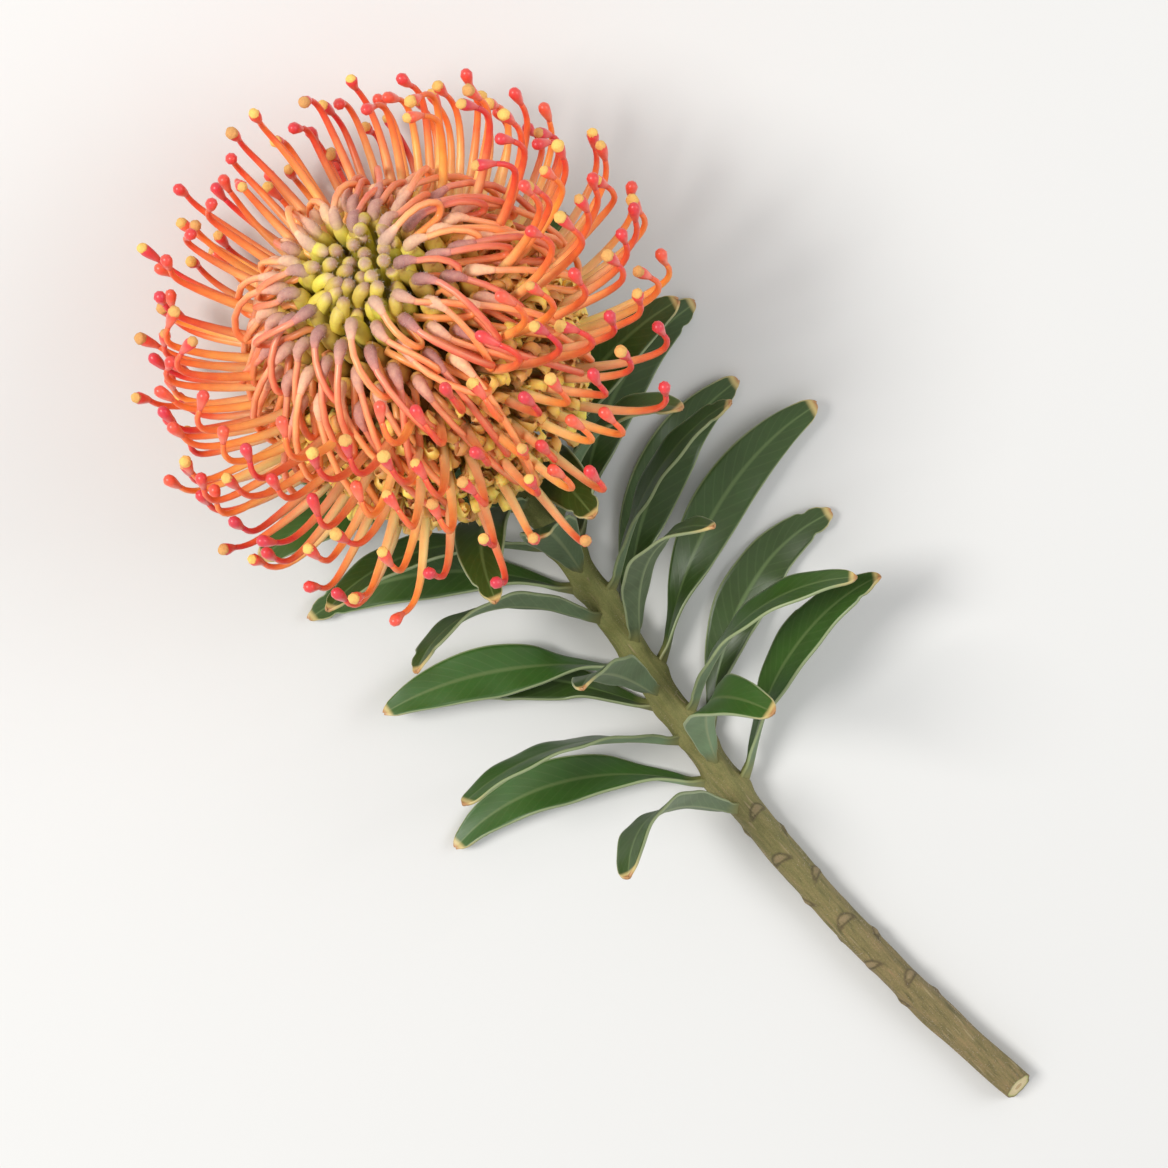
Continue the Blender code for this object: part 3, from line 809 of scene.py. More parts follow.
def leaf_skin(name, under):
    """Leaf green with midrib, side veins, pale rim and a yellow-brown callus, greyer on the underside."""
    material, tree, lay = started(name)
    if under:
        blade, vein, rim = (0.145, 0.205, 0.105), (0.27, 0.33, 0.17), (0.38, 0.43, 0.26)
    else:
        blade, vein, rim = (0.034, 0.080, 0.009), (0.10, 0.16, 0.045), (0.33, 0.39, 0.20)
    varied = mottled(tree, Color=(*blade, 1), Draw=lay["Z"], Scale=220.0, Light=0.55, Hue=0.03)
    side = maths(tree, "ABSOLUTE", lay["Y"])
    # Side veins leave the midrib at a slant: stripes over t less a share of the distance from it.
    slant = maths(tree, "MULTIPLY_ADD", side, -0.14, lay["X"])
    veins = mask(tree, [(0.72, 0), (1.0, 0.16)], maths(tree, "SINE", maths(tree, "MULTIPLY", slant, 115.0)))
    midrib = mask(tree, [(0.0, 1), (0.05, 0.75), (0.11, 0)], side)
    edge = mask(tree, [(0.935, 0), (0.98, 0.8)], side)
    rim_at_tip = maths(tree, "MULTIPLY", mask(tree, [(0.91, 0), (0.97, 0.8)], lay["X"]), edge)
    callus = mask(tree, [(0.968, 0), (0.982, 1)], lay["X"])
    scorched = mask(tree, [(0.986, 0), (0.996, 0.8)], lay["X"])
    foot = mask(tree, [(0.0, 1), (0.03, 0.85), (0.09, 0)], lay["X"])
    yellow = (0.56, 0.44, 0.17)
    tones = [(veins, vein), (midrib, vein), (edge, rim), (rim_at_tip, yellow), (callus, yellow)]
    tones += [(scorched, (0.42, 0.17, 0.06)), (foot, (0.20, 0.19, 0.06))]
    bumps = [(varied["Height"], 0.25, 0.2 * MM), (veins, 0.35 if under else 0.2, 0.3 * MM)]
    roughness, coat = (0.62, 0.0) if under else (0.42, 0.12)
    values = {"Roughness": roughness, "Coat Weight": coat, "Coat Roughness": 0.35}
    return finished(material, layered(tree, varied["Color"], tones), bumps, values)


# Stem

def bark_radius(s, around):
    """The stem's radius with the ridges of its bark."""
    t = s / STEM_LENGTH
    ridges = 0.05 * math.sin(5 * around + 3 * math.sin(7 * t)) + 0.03 * math.sin(9 * around - 14 * t)
    return stem_radius(s) * (1 + ridges + 0.02 * math.sin(60 * t)) * 0.985


def wrapped(angle):
    return (angle + math.pi) % (2 * math.pi) - math.pi


def bump_at(ahead, aside, length, width):
    """A soft bump of the given size on the stem, 1 in its middle."""
    return math.exp(-((ahead / length) ** 2) - (wrapped(aside) / width) ** 2)


def make_stem(bark, cut):
    """The woody stem, ridged under each leaf foot, with scars lower down and a slanting cut."""
    add = bpy.ops.mesh.primitive_cylinder_add
    stem = fresh(add, vertices=STEM_SIDES, radius=1, depth=1, end_fill_type="NGON")
    stem.name = "woody_stem"
    bpy.ops.object.mode_set(mode="EDIT")
    shape = bmesh.from_edit_mesh(stem.data)
    upright = [edge for edge in shape.edges if abs(edge.verts[0].co.z - edge.verts[1].co.z) > 0.5]
    bmesh.ops.subdivide_edges(shape, edges=upright, cuts=STEM_RINGS - 1, use_grid_fill=True)
    ends = [face for face in shape.faces if len(face.verts) == STEM_SIDES]
    for inset in (0.1, 0.35, 0.35):
        bmesh.ops.inset_region(shape, faces=ends, thickness=inset, use_boundary=True)
    for face in bmesh.ops.poke(shape, faces=ends)["faces"]:
        face.smooth = False
    for face in shape.faces:
        face.material_index = int(abs(face.normal.z) > 0.9)
    bmesh.update_edit_mesh(stem.data)
    bpy.ops.object.mode_set(mode="OBJECT")
    rules = [leaf_rule(k) for k in range(LEAVES)]
    # The leaves that have dropped off further down left their scars in the same spiral.
    fallen = range(LEAVES, LEAVES + FALLEN_LEAVES)
    scars = [(FIRST_LEAF + k * LEAF_SPACING, math.radians(k * GOLDEN_DEGREES % 360)) for k in fallen]
    lays = []
    for corner in stem.data.vertices:
        t = 0.5 - corner.co.z
        s = t * STEM_LENGTH
        around = math.atan2(corner.co.x, corner.co.y)
        radius = bark_radius(s, around)
        scar = 0.0
        for rule in rules:
            radius += 1.25 * MM * bump_at(s - rule["s"] - 0.6 * MM, around - rule["side"], 2.6 * MM, 0.5)
            radius += 0.35 * MM * bump_at(s - rule["s"] - 7 * MM, around - rule["side"], 7 * MM, 0.4)
        for place, side in scars:
            bow = 1.9 * MM * math.cos(1.9 * wrapped(around - side))
            mark = bump_at(s - place + bow, around - side, 1.15 * MM, 0.72)
            radius += 0.5 * MM * mark + 0.3 * MM * bump_at(s - place - 5 * MM, around - side, 6 * MM, 0.4)
            scar = max(scar, mark)
        axes = frame_on_stem(s - 5 * MM * (1 - t) if t < 0.02 else s)
        share = math.hypot(corner.co.x, corner.co.y)
        point = beside_axis(around, radius) * share
        slanted = smoothstep((t - 0.97) / 0.03) if t < 0.999 else 1
        point.z = math.tan(CUT_SLANT) * (point.y + CUT_RADIUS) * 0.9 * slanted
        lays.append((t, scar, share))
        corner.co = axes @ point
        corner.co.z = max(corner.co.z, 0.2 * MM)
    write_lay(stem.data, lays)
    stem.data.shade_smooth()
    stem.data.materials.append(bark)
    stem.data.materials.append(cut)
    stem.data.set_sharp_from_angle(angle=math.radians(50))
    return dressed(stem, None, "bark", "stem")


def bark_skin():
    """Olive-brown bark, streaked along the stem, greener near the flower and darker round the scars."""
    material, tree, lay = started("bark_skin")
    place = tree.nodes.new("ShaderNodeTexCoord").outputs["Object"]
    stretch = {"Vector": place, "Scale": (1300.0, 130.0, 1300.0)}
    stretched = node(tree, "ShaderNodeMapping", stretch).outputs["Vector"]
    grain = {"Vector": stretched, "Scale": 1.0, "Detail": 8.0, "Roughness": 0.72}
    streaks = node(tree, "ShaderNodeTexNoise", grain).outputs["Fac"]
    # Lenticels, the small pale corky dots of bark.
    dots = node(tree, "ShaderNodeTexVoronoi", {"Vector": stretched, "Scale": 0.55}).outputs["Distance"]
    lenticels = mask(tree, [(0.10, 0.8), (0.20, 0)], dots)
    stops = [
        (0.30, (0.060, 0.048, 0.020)), (0.45, (0.17, 0.13, 0.05)), (0.58, (0.24, 0.17, 0.075)),
        (0.72, (0.30, 0.17, 0.09)),
    ]
    tones = [
        (mask(tree, [(0.05, 0.85), (0.35, 0.6), (0.8, 0.1)], lay["X"]), (0.20, 0.235, 0.058)),
        (lenticels, (0.34, 0.27, 0.14)),
        (mask(tree, [(0.18, 0), (0.45, 0.7), (0.75, 0)], lay["Y"]), (0.05, 0.03, 0.015)),
        (mask(tree, [(0.55, 0), (0.8, 0.8)], lay["Y"]), (0.26, 0.19, 0.10)),
    ]
    colour = layered(tree, ramp(tree, stops, streaks), tones)
    varied = mottled(tree, Color=colour, Scale=3200.0, Light=0.9)
    bumps = [(streaks, 0.8, 0.4 * MM), (lenticels, 0.5, 0.3 * MM)]
    return finished(material, varied["Color"], bumps, {"Roughness": 0.72})


def cut_skin():
    """The fresh cut: soft pith, pale wood, the green layer under the bark, and bark."""
    material, tree, lay = started("cut_skin")
    rings = [
        (0.00, (0.52, 0.36, 0.17)), (0.20, (0.60, 0.44, 0.22)), (0.24, (0.40, 0.27, 0.12)),
        (0.30, (0.74, 0.62, 0.36)), (0.72, (0.68, 0.56, 0.30)), (0.86, (0.42, 0.44, 0.15)),
        (0.94, (0.19, 0.13, 0.05)),
    ]
    varied = mottled(tree, Color=ramp(tree, rings, lay["Z"]), Scale=2600.0, Light=0.5)
    return finished(material, varied["Color"], [(varied["Height"], 0.5, 0.2 * MM)], {"Roughness": 0.75})


def make_receptacle(material):
    """The swollen end of the stem that the florets grow from."""
    profile = [(-9.0, 2.4), (-6.4, 4.0), (-2.4, 7.2), (0.4, 9.0), (10.6, 8.3), (21.3, 5.9)]
    turned("receptacle", [*profile, (26.9, 2.7), (28.0, 0.3)], 28, 12, material, "bark")


# Flower head

def style_path(k, v, around):
    """An open floret's style: nearly straight out of its curls, then hooked in towards the axis."""
    draw = draws("style", k)
    length = STYLE_LENGTH * draw.uniform(0.92, 1.05)
    curl = STYLE_CURL * draw.uniform(0.75, 1.25)
    hook = STYLE_HOOK * draw.uniform(0.4, 1.6)
    sway = math.radians(draw.uniform(-9, 9))
    swerve = math.radians(draw.uniform(-16, 16))
    lean = floret_lean(v)
    point = over_dome(lean, around, -STYLE_ROOT)
    points = [point]
    step = (length + STYLE_ROOT - PRESENTER_LENGTH) / STYLE_STEPS
    for j in range(STYLE_STEPS):
        t = (j + 0.5) / STYLE_STEPS
        tilt = lean - curl * t**1.7 - hook * smoothstep((t - 0.76) / 0.24)
        point = point + leaning(tilt, around + sway * t + swerve * smoothstep((t - 0.6) / 0.4)) * step
        points.append(point)
    return points


def painted_sheen_stripes(pin):
    """How strongly each point of the pin takes the rim colour, strongest on two opposite sides: painted
    sheen, which gives the styles deeper red edges and the loops a pale painted highlight stripe.
    """
    return 0.7 * np.cos(np.arctan2(pin.points[:, 1], pin.points[:, 0]) + 0.6) ** 4


def make_styles(material, presenters_skin, pollen):
    """Each open floret's style with the knob at its end, and on about half of them a cap of pollen."""
    swell = [(0.0, 1.15), (0.25, 1.26), (0.5, 1.04), (0.7, 0.86), (0.85, 0.73), (0.93, 0.67), (1.0, 0.62)]
    rings = [0, 0.1, 0.2, 0.31, 0.42, 0.52, 0.61, 0.69, 0.76, 0.81, 0.85, 0.885, 0.915, 0.945, 0.975, 1]
    pin = drawn_out(along(rings, swell), 7, STYLE_RADIUS)
    rounding = [(0, 0.45), (0.12, 0.50), (0.3, 0.68), (0.54, 0.92), (0.74, 1.0), (0.88, 0.82)]
    knob = drawn_out([*rounding, (0.97, 0.48), (1.0, 0.12)], 8, PRESENTER_RADIUS)
    grains = pollen_shape()
    styles = Gathered()
    presenters = Gathered()
    dusted = Gathered()
    for k, v, around in open_florets():
        draw = draws("presenter", k)
        path = on_table(style_path(k, v, around), PRESENTER_RADIUS)
        value = draw.random()
        power = draw.uniform(0.85, 1.15) * (1.95 - 1.1 * v / OPEN_UNTIL)
        # Two sides of each style take the deeper red rim colour, a painted sheen.
        styles.add(pin, laid(pin, path), value, painted_sheen_stripes(pin), power)
        heading = (path[-1] - path[-2]).normalized()
        stray = Vector((draw.uniform(-1, 1), draw.uniform(-1, 1), draw.uniform(-1, 1)))
        bent = (heading + stray * 0.16).normalized()
        neck = path[-1] + heading * 0.8 * MM
        length = PRESENTER_LENGTH * draw.uniform(0.85, 1.12) - 0.8 * MM
        tip = [path[-1] - heading * 0.2 * MM, neck]
        tip += [neck + bent * length * share for share in (0.4, 0.7, 1.0)]
        tip = [Vector((p.x, p.y, max(p.z, 1.3 * PRESENTER_RADIUS))) for p in tip]
        presenters.add(knob, laid(knob, smooth_path(tip, 8)), value)
        if draw.random() < POLLEN_SHARE:
            size = draw.uniform(0.85, 1.15)
            cap = tip[-1] - bent * 0.5 * PRESENTER_RADIUS
            upright = Vector((0, 0, 1)).rotation_difference(bent).to_matrix()
            turn = np.array(Matrix.Rotation(draw.uniform(0, 6), 3, bent) @ upright)
            dusted.add(grains, grains.points @ turn.T * size + np.array(cap), draw.random())
    styles.made("styles", material, "floret", "flower_head")
    presenters.made("pollen_presenters", presenters_skin, "floret")
    dusted.made("pollen", pollen, "floret")


def pollen_shape():
    """A lumpy cap of pollen."""
    cap = fresh(bpy.ops.mesh.primitive_ico_sphere_add, subdivisions=3, radius=0.9 * PRESENTER_RADIUS)
    draw = draws("grain")
    for corner in cap.data.vertices:
        way = corner.co.normalized()
        lump = 1 + 0.06 * math.sin(5 * way.x + 1) * math.sin(6 * way.y)
        lump += 0.05 * math.sin(7 * way.z + 2 * way.x)
        corner.co = corner.co * lump * draw.uniform(0.96, 1.04)
    return Shape(cap)


def ribbon_shapes():
    """Fleshy straps, thick along the middle and wavy at the edges, that widen to a spoon before the end."""
    widths = [0.7, 0.95, 1.05, 1.0, 1.02, 0.95, 0.9, 0.84, 0.78, 0.76, 0.84, 0.98, 1.0, 0.84, 0.5, 0.12]
    heights = [0, 0.14, 0.22, 0.3, 0.37, 0.44, 0.51, 0.58, 0.65, 0.72, 0.78, 0.84, 0.9, 0.95, 0.985, 1]
    edge = 0.5 * RIBBON_WIDTH
    shapes = []
    for k in range(RIBBON_SHAPES):
        draw = draws("strap", k)
        profile = [(height, width * draw.uniform(0.9, 1.12)) for height, width in zip(heights, widths)]
        shape = drawn_out(profile, 6, edge, flatten=0.2)
        starts = (draw.uniform(0, 6), draw.uniform(0, 6))
        for point in shape.points:
            wave = math.sin(17 * point[2] + starts[int(point[0] > 0)])
            point[1] += 0.32 * MM * (wave + 0.7) * min(abs(point[0]) / edge, 1)
        shapes.append(shape)
    return shapes


def ribbon_path(lean, around, spin, draw):
    """A perianth segment's path: up beside the style, then rolled back and inwards on itself."""
    out = leaning(lean, around)
    back = leaning(lean + math.pi / 2, around)
    aside = out.cross(back)
    away = back * math.cos(spin) + aside * math.sin(spin)
    root = over_dome(lean, around, -3.5 * MM) + away * 0.9 * MM
    rise = draw.uniform(0.0, 4.2) * MM
    radius = ROLL_RADIUS * draw.uniform(0.65, 1.35)
    turns = math.radians(draw.uniform(290, 520))
    drift = draw.uniform(-1.8, 1.8) * MM
    points = [root, root + out * (1.9 * MM + 0.5 * rise)]
    mouth = root + out * (3.5 * MM + rise)
    centre = mouth + away * radius
    for j in range(1, 12):
        share = j / 11
        angle = math.pi - turns * share
        size = radius * (1 - 0.55 * share)
        point = centre + away * math.cos(angle) * size + out * math.sin(angle) * size
        points.append(point + away.cross(out) * drift * share)
    across = (away.cross(out)).normalized()
    twist = draw.uniform(-0.7, 0.7)
    return points, across, twist


def make_curls(material):
    """Rolled ribbons: five round the foot of each open style, and three on each tube of the rim."""
    ribbons = ribbon_shapes()
    curls = Gathered()
    edges = []
    whorl = [(FLORETS + k, 0.0, 2 * math.pi * (k + 0.5) / RIM_TUBES) for k in range(RIM_TUBES)]
    for k, v, around in open_florets() + whorl:
        draw = draws("curl", k)
        lean = floret_lean(v)
        for spin in (-1.1, -0.4, 0.4, 1.1, math.pi) if v else (-0.5, 0.4, 2.6):
            points, across, twist = ribbon_path(lean, around, spin + draw.uniform(-0.35, 0.35), draw)
            path = on_table(smooth_path(points, RIBBON_STEPS), 0.5 * RIBBON_WIDTH)
            heading = HEAD_TURN @ leaning(lean, around)
            across = HEAD_TURN @ across
            sides = [Matrix.Rotation(twist * t, 3, heading) @ across for t in even(RIBBON_STEPS)]
            ribbon = draw.choice(ribbons)
            # Towards both edges each ribbon takes the pale rim colour, a painted highlight.
            rim = np.clip(np.abs(ribbon.points[:, 0]) / (0.5 * RIBBON_WIDTH), 0, 1) ** 2
            curls.add(ribbon, laid(ribbon, path, np.array(sides)), draw.random(), rim)
            edges.append((path, sides))
    curls.made("perianth_curls", material, "floret", "flower_head")
    return edges


def make_core(material):
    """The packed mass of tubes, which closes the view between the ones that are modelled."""
    places = (0.04, 0.15, 0.3, 0.45, 0.6, 0.75, 0.88, 0.97)
    dome = [over_dome(floret_lean(v), 0.0, -CORE_DEPTH) for v in places]
    profile = [(dome[0].z - 0.4 * MM, 9.6 * MM), (dome[0].z - 0.2 * MM, 0.8 * dome[0].y)]
    profile += [(point.z, math.hypot(point.x, point.y)) for point in dome]
    turned("packed_tubes", profile, 144, 24, material, "floret", unit=1, fluting=0.035)


def make_tubes(material):
    """The perianth tubes, from the receptacle to the curls and limbs."""
    swell = [(0.0, 0.55), (0.3, 0.75), (0.7, 1.0), (0.88, 0.95), (0.96, 0.7), (1.0, 0.3)]
    shape = drawn_out(along((0, 0.2, 0.4, 0.65, 0.88, 0.96, 1), swell), 7, TUBE_RADIUS)
    tubes = Gathered()

    def add_tube(root, bow, end, draw):
        path = smooth_path([root, root.lerp(end, 0.5) + bow, end], 8)
        tubes.add(shape, laid(shape, on_table(path, TUBE_RADIUS)), draw.random())

    for k, v, around in florets():
        draw = draws("tube", k)
        lean = floret_lean(v)
        root = floret_root(v, around)
        end = over_dome(lean, around, (-2 if v < LOOPED_UNTIL else -4) * MM)
        bow = leaning(lean + math.pi / 2, around) * draw.uniform(-0.6, 1.2) * MM
        add_tube(root, bow, end, draw)
    # The outermost whorl shows from under the head.
    for k in range(RIM_TUBES):
        draw = draws("rim_tube", k)
        around = 2 * math.pi * (k + 0.5 + draw.uniform(-0.2, 0.2)) / RIM_TUBES
        out = leaning(OUTER_LEAN + math.radians(draw.uniform(-3, 3)), around)
        root = floret_root(0.0, around) - Vector((0, 0, 0.9 * MM))
        end = root + out * (PERIANTH_LENGTH - draw.uniform(0.5, 2.5) * MM)
        add_tube(root, Vector((0, 0, draw.uniform(-0.5, 0.3) * MM)), end, draw)
    tubes.made("perianth_tubes", material, "floret", "flower_head")


# The hairpin of a looped style: share of its reach, and height over the dome in mm.
HAIRPIN = (
    (0.10, 1.4), (0.40, 2.5), (0.72, 3.6), (0.90, 4.4), (0.98, 5.1), (1.0, 6.0),
    (0.975, 6.9), (0.88, 7.6), (0.62, 8.0), (0.33, 7.4), (0.08, 6.3),
)

# A claw and the foot of the limb on it: lean back towards the axis, and height over the dome in mm.
CLAW = ((0.0, -4.0), (0.06, 0.6), (0.12, 2.6), (0.08, 4.4))
LIMB_FOOT = ((0.12, 2.9), (0.11, 4.5))


def make_loops(material, tube_material, limb_material):
    """Unopened florets: the style bows out in a long hairpin, and the hairy limbs still hold its tip."""
    rings = [0, 0.1, 0.2, 0.28, 0.34, 0.38, 0.415, 0.45, 0.485, 0.52, 0.555, 0.59, 0.625, 0.66]
    rings += [0.72, 0.79, 0.86, 0.93, 0.97, 1]
    pin = drawn_out([(t, 1.08 - 0.16 * t) for t in rings], 7, LOOP_RADIUS)
    narrowing = [(0, 1.6), (0.25, 1.95), (0.5, 1.8), (0.7, 1.5), (0.84, 1.25), (0.93, 1.05)]
    claw = drawn_out([*narrowing, (0.98, 0.75), (1, 0.35)], 11)
    bean = [(0, 0.8), (0.12, 1.08), (0.32, 1.3), (0.52, 1.28), (0.7, 1.1), (0.85, 0.88)]
    limb = drawn_out([*bean, (0.95, 0.76), (1, 0.66)], 11)
    loops = Gathered()
    claws = Gathered()
    limbs = Gathered()
    roots = []
    for k, v, around in looped_florets():
        draw = draws("loop", k)
        lean = floret_lean(v)
        outer = (LOOPED_UNTIL - v) / (LOOPED_UNTIL - OPEN_UNTIL)
        reach = LOOP_REACH * (0.38 + 0.62 * outer) * draw.uniform(0.8, 1.12)
        sway = math.radians(draw.uniform(-17, 17))
        lift = draw.uniform(0.8, 1.3)
        roll = draw.uniform(-1, 1)
        points = [over_dome(lean, around, -3 * MM)]
        for share, height in HAIRPIN:
            bowed = lean + share * reach / LOOP_ARM
            # The two arms of the hairpin lie beside each other as well as one over the other.
            apart = roll * (height - 5.2) * 0.55 * MM / (LOOP_ARM * math.sin(bowed))
            points.append(over_dome(bowed, around + sway * share + apart, height * lift * MM))
        points.append(over_dome(lean - 0.06, around, 5.9 * MM))
        path = on_table(smooth_path(points, LOOP_STEPS), LOOP_RADIUS)
        value = draw.random()
        # Two sides of each loop take the pale rim colour, a painted highlight stripe.
        loops.add(pin, laid(pin, path), value, painted_sheen_stripes(pin))
        held = [over_dome(lean - back, around, height * MM) for back, height in CLAW]
        claws.add(claw, laid(claw, on_table(smooth_path(held, 8), TUBE_RADIUS)), value, 0.9 * outer)
        # The limb stands on its claw and closes round the end of the style.
        foot = [over_dome(lean - back, around, height * MM) for back, height in LIMB_FOOT]
        path = smooth_path([*on_table(foot, TUBE_RADIUS), path[-1], path[-5]], 7)
        limbs.add(limb, laid(limb, path), value, 0.85 * outer**0.7 * (0.6 + 0.4 * value))
        roots.append((path[:-1], HAIR_SEAT))
    loops.made("looped_styles", material, "floret", "flower_head")
    claws.made("claws", tube_material, "floret", "flower_head")
    limbs.made("limbs", limb_material, "bud", "flower_head")
    return roots


def make_central_buds(material):
    """The youngest florets, yellow-green fingers with mauve tips, bent in over the tip of the head."""
    profile = [(0, 1.0), (0.2, 1.15), (0.42, 1.22), (0.58, 1.16), (0.7, 1.25), (0.8, 1.4), (0.87, 1.42)]
    shape = drawn_out([*profile, (0.92, 1.26), (0.96, 0.95), (0.985, 0.6), (1, 0.2)], 12)
    buds = Gathered()
    tips = []
    # They all lie over to one side a little.
    over = leaning(math.radians(96), math.radians(310))
    for k in range(CENTRAL_BUDS):
        draw = draws("bud", k)
        spread = math.sqrt((k + 0.5) / CENTRAL_BUDS) * 1.05
        around = k * GOLDEN_ANGLE + draw.uniform(-0.2, 0.2)
        foot = beside_axis(around, BUD_SPREAD * spread, BUD_SEAT - 5 * MM)
        out = leaning(math.radians(36) * spread, around)
        bend = math.radians(draw.uniform(-80, -45)) * min(spread, 1)
        inwards = leaning(bend, around + draw.uniform(-0.5, 0.5))
        height = (9.6 + 3.4 * spread) * MM * draw.uniform(0.82, 1.1)
        points = [foot, foot + out * height * 0.45, foot + out * height * 0.85 + inwards * 0.3 * MM]
        points.append(foot + out * height + inwards * 2.1 * MM + over * 0.9 * MM)
        points.append(points[-1] + inwards * (1.8 + 1.6 * spread) * MM + over * draw.uniform(1.2, 2.6) * MM)
        path = on_table(smooth_path(points, 14), 1.5 * MM)
        buds.add(shape, laid(shape, path), draw.random())
        tips.append((path[-5:], HAIR_SEAT))
    buds.made("closed_buds", material, "bud", "central_buds")
    return tips


# Bracts

def bract_shape():
    """A pointed scale, cupped towards the head, modelled flat from a grid."""
    bract = fresh(bpy.ops.mesh.primitive_grid_add, x_subdivisions=6, y_subdivisions=9, size=1)
    for corner in bract.data.vertices:
        t = corner.co.y + 0.5
        side = 2 * corner.co.x
        taper = 1 - smoothstep((t - 0.4) / 0.6) ** 1.3 * 0.97
        half = 0.5 * BRACT_WIDTH * (0.72 + 0.28 * smoothstep(t / 0.4)) * taper
        hug = 0.35 * MM - 0.2 * side**2 * half
        keel = 0.3 * MM * math.exp(-((side / 0.22) ** 2)) * (1 - 0.5 * t)
        bend = 0.9 * MM * smoothstep((t - 0.75) / 0.25) - 0.4 * MM * smoothstep((t - 0.25) / 0.6)
        corner.co = Vector((half * side, hug + keel + bend, t))
    # The scale is one unit high, so it takes its true height while its wall is made.
    bract.data.transform(Matrix.Diagonal((1, 1, BRACT_LENGTH, 1)))
    thicken(bract, 0.45 * MM)
    bract.data.transform(Matrix.Diagonal((1, 1, 1 / BRACT_LENGTH, 1)))
    return Shape(bract)


def make_bracts(material):
    """Overlapping rows of scales, on a cup that hugs the base of the head."""
    shape = bract_shape()
    bracts = Gathered()
    edges = []
    for row, (count, height, radius, lean) in enumerate(BRACT_ROWS):
        for k in range(count):
            draw = draws("bract", 100 * row + k)
            around = 2 * math.pi * (k + 0.5 * (row % 2) + draw.uniform(-0.12, 0.12)) / count
            tilt = math.radians(lean + draw.uniform(-6, 6))
            size = draw.uniform(0.9, 1.12) * (1 - 0.12 * row)
            foot = beside_axis(around, radius, height - 0.5 * MM)
            outwards = leaning(tilt + math.pi / 2, around)
            aside = outwards.cross(leaning(tilt, around))
            reach = leaning(tilt, around) * BRACT_LENGTH * size
            place = np.array(HEAD_FRAME @ axes_at(foot, aside * size, outwards * size, reach))
            bracts.add(shape, shape.points @ place[:3, :3].T + place[:3, 3], draw.random())
            edges.append((HEAD_FRAME @ foot, HEAD_TURN @ reach, HEAD_TURN @ outwards))
    bracts.made("bracts", material, "bract", "involucre")
    profile = [(-13.6, 3.7), (-13.0, 4.6), (-9.6, 6.4), (-4.0, 9.9), (-0.6, 11.3), (0.2, 10.4)]
    turned("bract_cup", profile, 36, 8, material, "bract")
    return edges


# Hair

def grow(name, roots, radius, material, slot, seed):
    """Hairs from (root, way, length) triples, each with a bend of its own."""
    draw = np.random.default_rng(seed)
    shape = drawn_out([(0, 1), (0.35, 0.85), (0.7, 0.6), (1.0, 0.15)], 3, radius)
    # Hairs are of one plain colour, which needs no place on a sheet.
    shape.unrolled = None
    starts = np.array([root for root, _, _ in roots])[:, None]
    ways = np.array([way * length for _, way, length in roots])[:, None]
    lengths = np.linalg.norm(ways, axis=2, keepdims=True)
    side = np.cross(ways, (0.31, 0.22, 0.93))
    side /= np.linalg.norm(side, axis=2, keepdims=True)
    up = np.cross(ways / lengths, side)
    stray = draw.normal(0, 0.22, (len(roots), 1, 3)) * lengths
    x, y, height = (shape.points[None, :, k:k + 1] for k in range(3))
    points = starts + ways * height + stray * height**2 + side * x + up * y
    points[:, :, 2] = np.maximum(points[:, :, 2], 0.05 * MM)
    hairs = Gathered()
    for hair, value in zip(points, draw.random(len(roots))):
        hairs.add(shape, hair, value)
    hairs.made(name, material, slot)


def round_hairs(tips, count, length, seed):
    """Roots of hairs all round short paths, such as limbs, pointing out and forwards."""
    draw = random.Random(seed)
    roots = []
    for path, radius in tips:
        side, up = sections(np.array(path))
        for _ in range(count):
            place = draw.uniform(0.1, 1.0) * (len(path) - 1)
            k = min(int(place), len(path) - 2)
            centre = path[k].lerp(path[k + 1], place - k)
            angle = draw.uniform(0, 2 * math.pi)
            away = Vector(side[k]) * math.cos(angle) + Vector(up[k]) * math.sin(angle)
            forward = (path[k + 1] - path[k]).normalized()
            swell = math.sin(math.pi * min(max(place / (len(path) - 1), 0.15), 0.9)) ** 0.5
            way = (away + forward * draw.uniform(0.2, 1.2)).normalized()
            roots.append((centre + away * radius * swell * 0.9, way, length * draw.uniform(0.6, 1.3)))
    return roots


def ribbon_hairs(edges, count, length, seed):
    """Roots of silky hairs on both faces of rolled ribbons."""
    draw = random.Random(seed)
    roots = []
    for path, sides in edges:
        for _ in range(count):
            k = draw.randrange(5, len(path) - 3)
            forward = (path[k + 1] - path[k]).normalized()
            side = (sides[k] - forward * sides[k].dot(forward)).normalized()
            off = forward.cross(side) * draw.choice((-1, 1))
            place = path[k] + side * draw.uniform(-0.42, 0.42) * RIBBON_WIDTH + off * 0.1 * MM
            way = (off + forward * draw.uniform(-0.8, 0.8)).normalized()
            roots.append((place, way, length * draw.uniform(0.5, 1.2)))
    return roots


def bract_hairs(edges, count, length, seed):
    """Roots of woolly hairs on the backs and rims of the bracts."""
    draw = random.Random(seed)
    roots = []
    for foot, up, outwards in edges:
        aside = outwards.cross(up.normalized())
        for _ in range(count):
            t = draw.uniform(0.05, 0.95)
            off = aside * draw.uniform(-0.42, 0.42) * BRACT_WIDTH * (1 - t * t)
            place = foot + up * t + off + outwards * 0.35 * MM
            way = outwards * draw.uniform(0.5, 1) + up.normalized() * 0.9 + aside * draw.uniform(-0.5, 0.5)
            roots.append((place, way.normalized(), length * draw.uniform(0.6, 1.2)))
    return roots


def stem_down(count, length, seed):
    """Roots of short hairs on the younger part of the stem, pointing forwards."""
    draw = random.Random(seed)
    roots = []
    for _ in range(count):
        s = 6 * MM + (STEM_LENGTH - 10 * MM) * draw.random() ** 1.4
        axes = frame_on_stem(s)
        around = draw.uniform(0, 2 * math.pi)
        out = beside_axis(around)
        radius = bark_radius(s, around) - 0.05 * MM
        way = axes.to_3x3() @ (out + Vector((0, 0, draw.uniform(0.3, 1.4))))
        roots.append((axes @ (out * radius), way.normalized(), length * draw.uniform(0.5, 1.2)))
    return roots


# Light, table and camera

